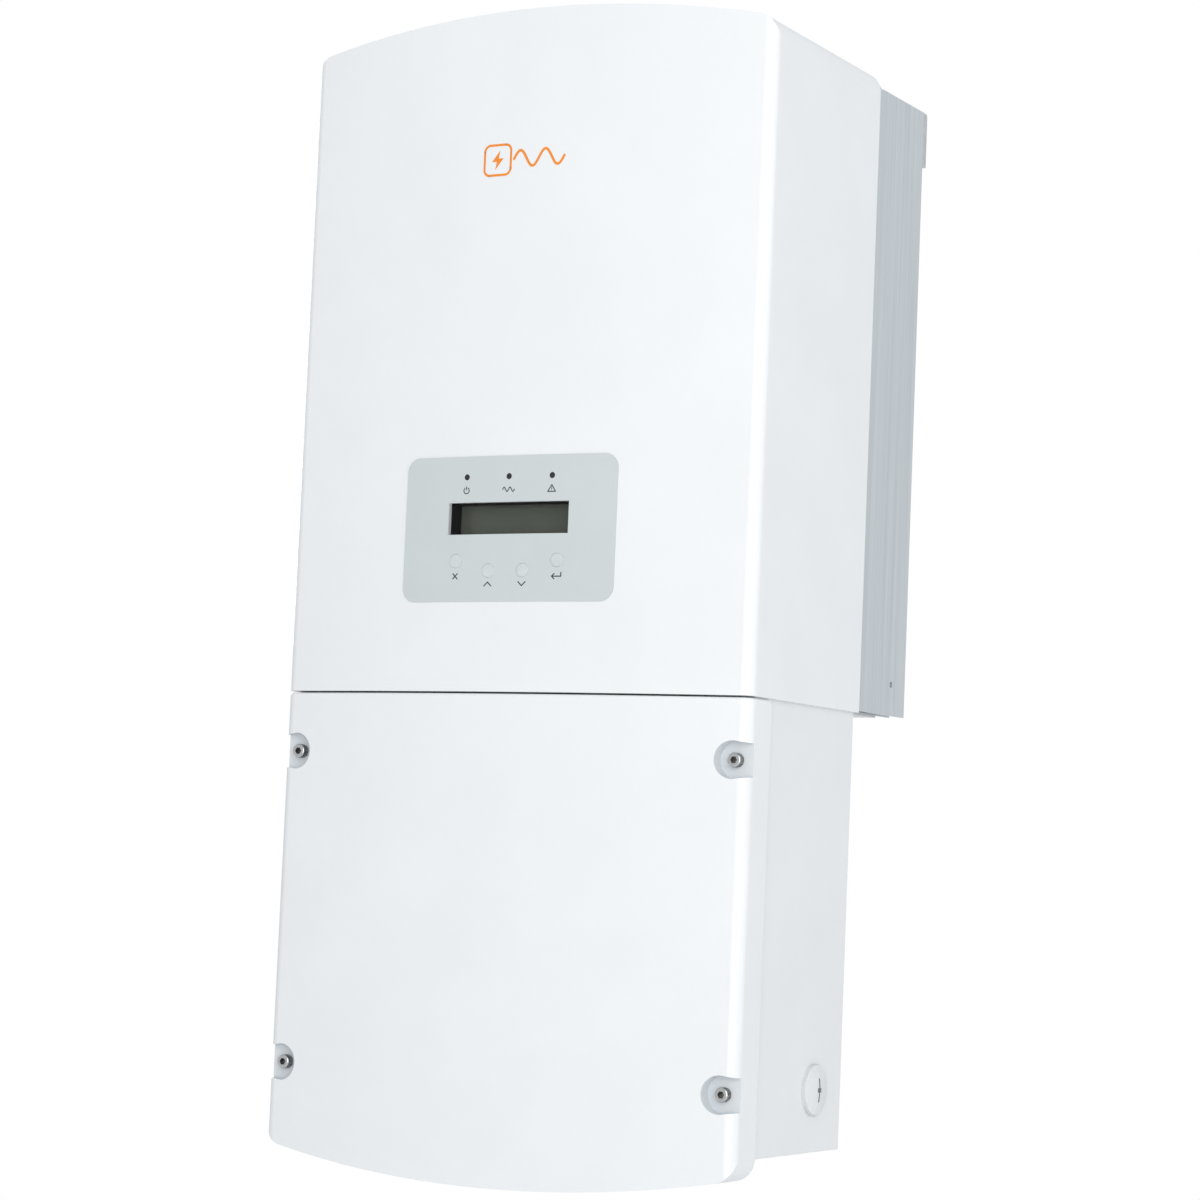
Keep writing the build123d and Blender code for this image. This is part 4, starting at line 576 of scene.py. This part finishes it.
def on_left_side(x, centre_y, centre_z):
    """Places a drawing on a plane that faces left: u to the right as seen from there, v up."""
    def place(u, v, lift):
        return Vector((x - lift, centre_y - u, centre_z + v))
    return place


def middle_of(name):
    """Y and Z of the middle of a CAD node or piece, and its lowest X, in millimetres."""
    low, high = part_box(name)
    return (low.y + high.y) / 2 / MM, (low.z + high.z) / 2 / MM, low.x / MM


# ---- Printed symbols, in millimetres ------------------------------------------------------------
INK = 0.05                    # thickness
LIFT = 0.005                  # keeps the ink's underside off the surface below it

PICTOGRAM_Z = SEAM_Z + 335.0
FRAME_X, FRAME_HALF, FRAME_CORNER, FRAME_LINE = -19.0, 9.6, 4.0, 1.5
BOLT = [(1.6, 6.2), (-4.2, -1.0), (-0.7, -1.0), (-1.6, -6.2), (4.2, 1.0), (0.7, 1.0)]
WAVE_X, WAVE_LENGTH, WAVE_HEIGHT, WAVE_LINE = 11.0, 36.0, 5.2, 1.7

LIGHT_SPACING = 30.6
LIGHT_SYMBOL_Z = SEAM_Z + 126.2
LIGHT_LINE = 0.62
RUNNING_LENGTH, RUNNING_HEIGHT = 8.4, 1.35

OUTER_KEY_X, OUTER_SYMBOL_Z = 36.3, SEAM_Z + 72.3
INNER_KEY_X, INNER_SYMBOL_Z = 12.2, SEAM_Z + 67.3
KEY_LINE = 0.72

GRIP_HEIGHT = 12.0            # the switch's grip bar stands this far out from its disc


def wave_points(length, height, steps):
    """Two full waves, centred on (0, 0)."""
    return [(length * (i / steps - 0.5), height * math.sin(4 * math.pi * i / steps))
            for i in range(steps + 1)]


def pictogram():
    """A bolt in a rounded frame, and a wave: a plain sign for an inverter."""
    bm = bmesh.new()
    place = on_casing(FRAME_X, PICTOGRAM_Z, LIFT)
    edge = FRAME_HALF - FRAME_CORNER
    side = line((FRAME_HALF, -edge), (FRAME_HALF, edge)) + arc((edge, edge), FRAME_CORNER, 0, 90, 8)[1:]
    for turn in range(4):
        angle = math.radians(90 * turn)
        cos_a, sin_a = math.cos(angle), math.sin(angle)
        turned = [(u * cos_a - v * sin_a, u * sin_a + v * cos_a) for u, v in side]
        add_stroke(bm, turned, FRAME_LINE, place, INK)
    add_outline(bm, BOLT, place, INK)
    place = on_casing(WAVE_X, PICTOGRAM_Z, LIFT)
    add_stroke(bm, wave_points(WAVE_LENGTH, WAVE_HEIGHT, 60), WAVE_LINE, place, INK)
    mesh_piece("inverter_pictogram", bm, ORANGE_INK, "inverter")


def light_symbols():
    """Under the three lights: power, running, and a warning triangle."""
    bm = bmesh.new()
    place = on_casing(-LIGHT_SPACING, LIGHT_SYMBOL_Z, FILM + LIFT)
    add_stroke(bm, arc((0, -0.2), 1.95, 128, 412, 24), LIGHT_LINE, place, INK)
    add_stroke(bm, line((0, 0.3), (0, 2.2)), LIGHT_LINE, place, INK)

    place = on_casing(0.0, LIGHT_SYMBOL_Z, FILM + LIFT)
    add_stroke(bm, wave_points(RUNNING_LENGTH, RUNNING_HEIGHT, 48), LIGHT_LINE, place, INK)

    place = on_casing(LIGHT_SPACING, LIGHT_SYMBOL_Z, FILM + LIFT)
    corners = [(-2.7, -1.9), (2.7, -1.9), (0.0, 2.3), (-2.7, -1.9)]
    for start, end in zip(corners, corners[1:]):
        add_stroke(bm, line(start, end), LIGHT_LINE, place, INK)
    for end_v, foot_v, steps in ((0.75, -0.35, 2), (-1.1, -1.15, 1)):
        add_stroke(bm, line((0, end_v), (0, foot_v), steps), LIGHT_LINE * 0.8, place, INK)
    mesh_piece("light_symbols", bm, DARK_INK, "inverter")


def key_symbols():
    """Under the four keys: cross, up, down, and return."""
    bm = bmesh.new()
    cross = [((-1.6, -1.6), (1.6, 1.6)), ((-1.6, 1.6), (1.6, -1.6))]
    up = [((-2.5, -1.2), (0, 1.2)), ((0, 1.2), (2.5, -1.2))]
    down = [((-2.5, 1.2), (0, -1.2)), ((0, -1.2), (2.5, 1.2))]
    enter = [((3.2, 1.8), (3.2, -0.5)), ((3.2, -0.5), (-3.2, -0.5)),
             ((-3.2, -0.5), (-1.5, 1.1)), ((-3.2, -0.5), (-1.5, -2.1))]
    for x, z, strokes in ((-OUTER_KEY_X, OUTER_SYMBOL_Z, cross), (-INNER_KEY_X, INNER_SYMBOL_Z, up),
                          (INNER_KEY_X, INNER_SYMBOL_Z, down), (OUTER_KEY_X, OUTER_SYMBOL_Z, enter)):
        place = on_casing(x, z, FILM + LIFT)
        for start, end in strokes:
            add_stroke(bm, line(start, end), KEY_LINE, place, INK)
    mesh_piece("key_symbols", bm, DARK_INK, "inverter")


def dial_marks():
    """1 above the disconnect switch's knob, and 0 beside it."""
    bm = bmesh.new()
    centre_y, centre_z, face_x = middle_of("dc_switch_dial")
    place = on_left_side(face_x, centre_y, centre_z)
    add_stroke(bm, line((0, 24.7), (0, 28.3)), 0.9, place, INK)
    add_stroke(bm, [(26.6 + u, v) for u, v in arc((0, 0), 1.6, 0, 360, 24)], 0.7, place, INK)
    mesh_piece("dial_numbers", bm, DIAL_INK, "inverter")


def grip_mark():
    """Two short lines on the switch's disc, beside the end of the grip bar that points."""
    bm = bmesh.new()
    centre_y, centre_z, face_x = middle_of("dc_switch_knob")
    place = on_left_side(face_x + GRIP_HEIGHT, centre_y, centre_z)
    for u in (-8.5, 8.5):
        add_stroke(bm, line((u, 13.5), (u, 17.5)), 1.3, place, INK)
    mesh_piece("dc_switch_grip_mark", bm, DIAL_INK, "dc_switch_knob")


# ---- Display glass ------------------------------------------------------------------------------
GLASS = 0.25                  # thickness, in millimetres
GLASS_HALF_WIDTH, GLASS_HALF_HEIGHT = 42.6, 9.6


def lcd_glass():
    """The display's polarised glass, on the front of its module."""
    bm = bmesh.new()
    low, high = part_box("lcd_module")
    face_y = low.y / MM
    centre_z = (low.z + high.z) / 2 / MM

    def place(u, v, lift):
        return Vector((u, face_y - lift, centre_z + v))

    corners = [(-GLASS_HALF_WIDTH, -GLASS_HALF_HEIGHT), (GLASS_HALF_WIDTH, -GLASS_HALF_HEIGHT),
               (GLASS_HALF_WIDTH, GLASS_HALF_HEIGHT), (-GLASS_HALF_WIDTH, GLASS_HALF_HEIGHT)]
    add_outline(bm, corners, place, GLASS)
    mesh_piece("lcd_glass", bm, MATERIALS["lcd_panel"], "inverter")


pictogram()
light_symbols()
key_symbols()
dial_marks()
grip_mark()
lcd_glass()

# ---- Camera -------------------------------------------------------------------------------------
# Fitted to the photograph. Angles in degrees, places and lengths in millimetres.
AZIMUTH, ELEVATION, ROLL = (math.radians(angle) for angle in (28.995, -4.951, 2.418))
CAMERA_PLACE = Vector((1021.77, -1983.48, -448.03))
FOCAL_LENGTH, SENSOR_WIDTH = 97.48, 36.0
back = Vector((math.sin(AZIMUTH) * math.cos(ELEVATION), -math.cos(AZIMUTH) * math.cos(ELEVATION),
               math.sin(ELEVATION)))
level_right = (-back).cross(Vector((0, 0, 1))).normalized()
level_up = level_right.cross(-back)
right = level_right * math.cos(ROLL) + level_up * math.sin(ROLL)
up = level_up * math.cos(ROLL) - level_right * math.sin(ROLL)
rotation = Matrix((right, up, back)).transposed()

camera = bpy.data.objects.new("camera", bpy.data.cameras.new("camera"))
camera.data.lens = FOCAL_LENGTH
camera.data.sensor_width = SENSOR_WIDTH
camera.matrix_world = Matrix.Translation(CAMERA_PLACE * MM) @ rotation.to_4x4()
scene.collection.objects.link(camera)
scene.camera = camera

# ---- Floor, world and lights --------------------------------------------------------------------
FLOOR_Z = -0.95               # metres, as in the rest of this section
FLOOR_R = 2.4
FLOOR_SIDES = 96
floor_bm = bmesh.new()
bmesh.ops.create_circle(floor_bm, cap_ends=True, segments=FLOOR_SIDES, radius=FLOOR_R)
floor_mesh = bpy.data.meshes.new("floor")
floor_bm.to_mesh(floor_mesh)
floor_bm.free()
floor = bpy.data.objects.new("floor", floor_mesh)
floor.location = (0, 0, FLOOR_Z)
floor_look = Nodes("floor", roughness=0.9)
floor_look.colour(floor_look.ramp(floor_look.noise(0.5, 2), [(0.3, 0.80), (0.7, 0.82)]))
floor_mesh.materials.append(floor_look.material)
scene.collection.objects.link(floor)

SURROUND_COLOUR = (0.965, 0.995, 1.02, 1)
SURROUND_STRENGTH = 0.655
BACKDROP_COLOUR = (1.0, 1.0, 1.0, 1)
world = bpy.data.worlds.new("studio")
world.use_nodes = True
world_nodes = world.node_tree.nodes
surround = world_nodes["Background"]
surround.inputs["Color"].default_value = SURROUND_COLOUR
surround.inputs["Strength"].default_value = SURROUND_STRENGTH
# The camera sees a white backdrop, brighter than the light that falls on the object from all round.
backdrop = world_nodes.new("ShaderNodeBackground")
backdrop.inputs["Color"].default_value = BACKDROP_COLOUR
backdrop.inputs["Strength"].default_value = 1.0
seen = world_nodes.new("ShaderNodeLightPath")
either = world_nodes.new("ShaderNodeMixShader")
for source, target in ((seen.outputs["Is Camera Ray"], either.inputs["Fac"]),
                       (surround.outputs["Background"], either.inputs[1]),
                       (backdrop.outputs["Background"], either.inputs[2]),
                       (either.outputs["Shader"], world_nodes["World Output"].inputs["Surface"])):
    world.node_tree.links.new(source, target)
scene.world = world

AIM = Vector((0.0, -0.2, -0.27))


def softbox(name, place, width, height, share, colour=(1.0, 1.0, 1.0)):
    """A lamp aimed at the object. It lights a surface that faces it by share of a white surround."""
    offset = Vector(place) - AIM
    lamp = bpy.data.lights.new(name, "AREA")
    lamp.shape = "RECTANGLE"
    lamp.size = width
    lamp.size_y = height
    lamp.energy = share * math.pi**2 * offset.length_squared
    lamp.color = colour
    holder = bpy.data.objects.new(name, lamp)
    holder.location = place
    holder.rotation_mode = "QUATERNION"
    holder.rotation_quaternion = (-offset).to_track_quat("-Z", "Y")
    holder.visible_camera = False
    scene.collection.objects.link(holder)


softbox("key_light", (1.97, -2.91, -0.05), 3.0, 3.0, 0.735, (1.0, 0.965, 0.935))
softbox("edge_light", (2.19, -0.01, -0.15), 0.35, 1.9, 0.05)
softbox("top_light", (0.0, 0.6, 2.2), 1.6, 1.6, 0.22)
softbox("rear_light", (-2.2, 2.0, 0.8), 1.8, 1.8, 0.35)
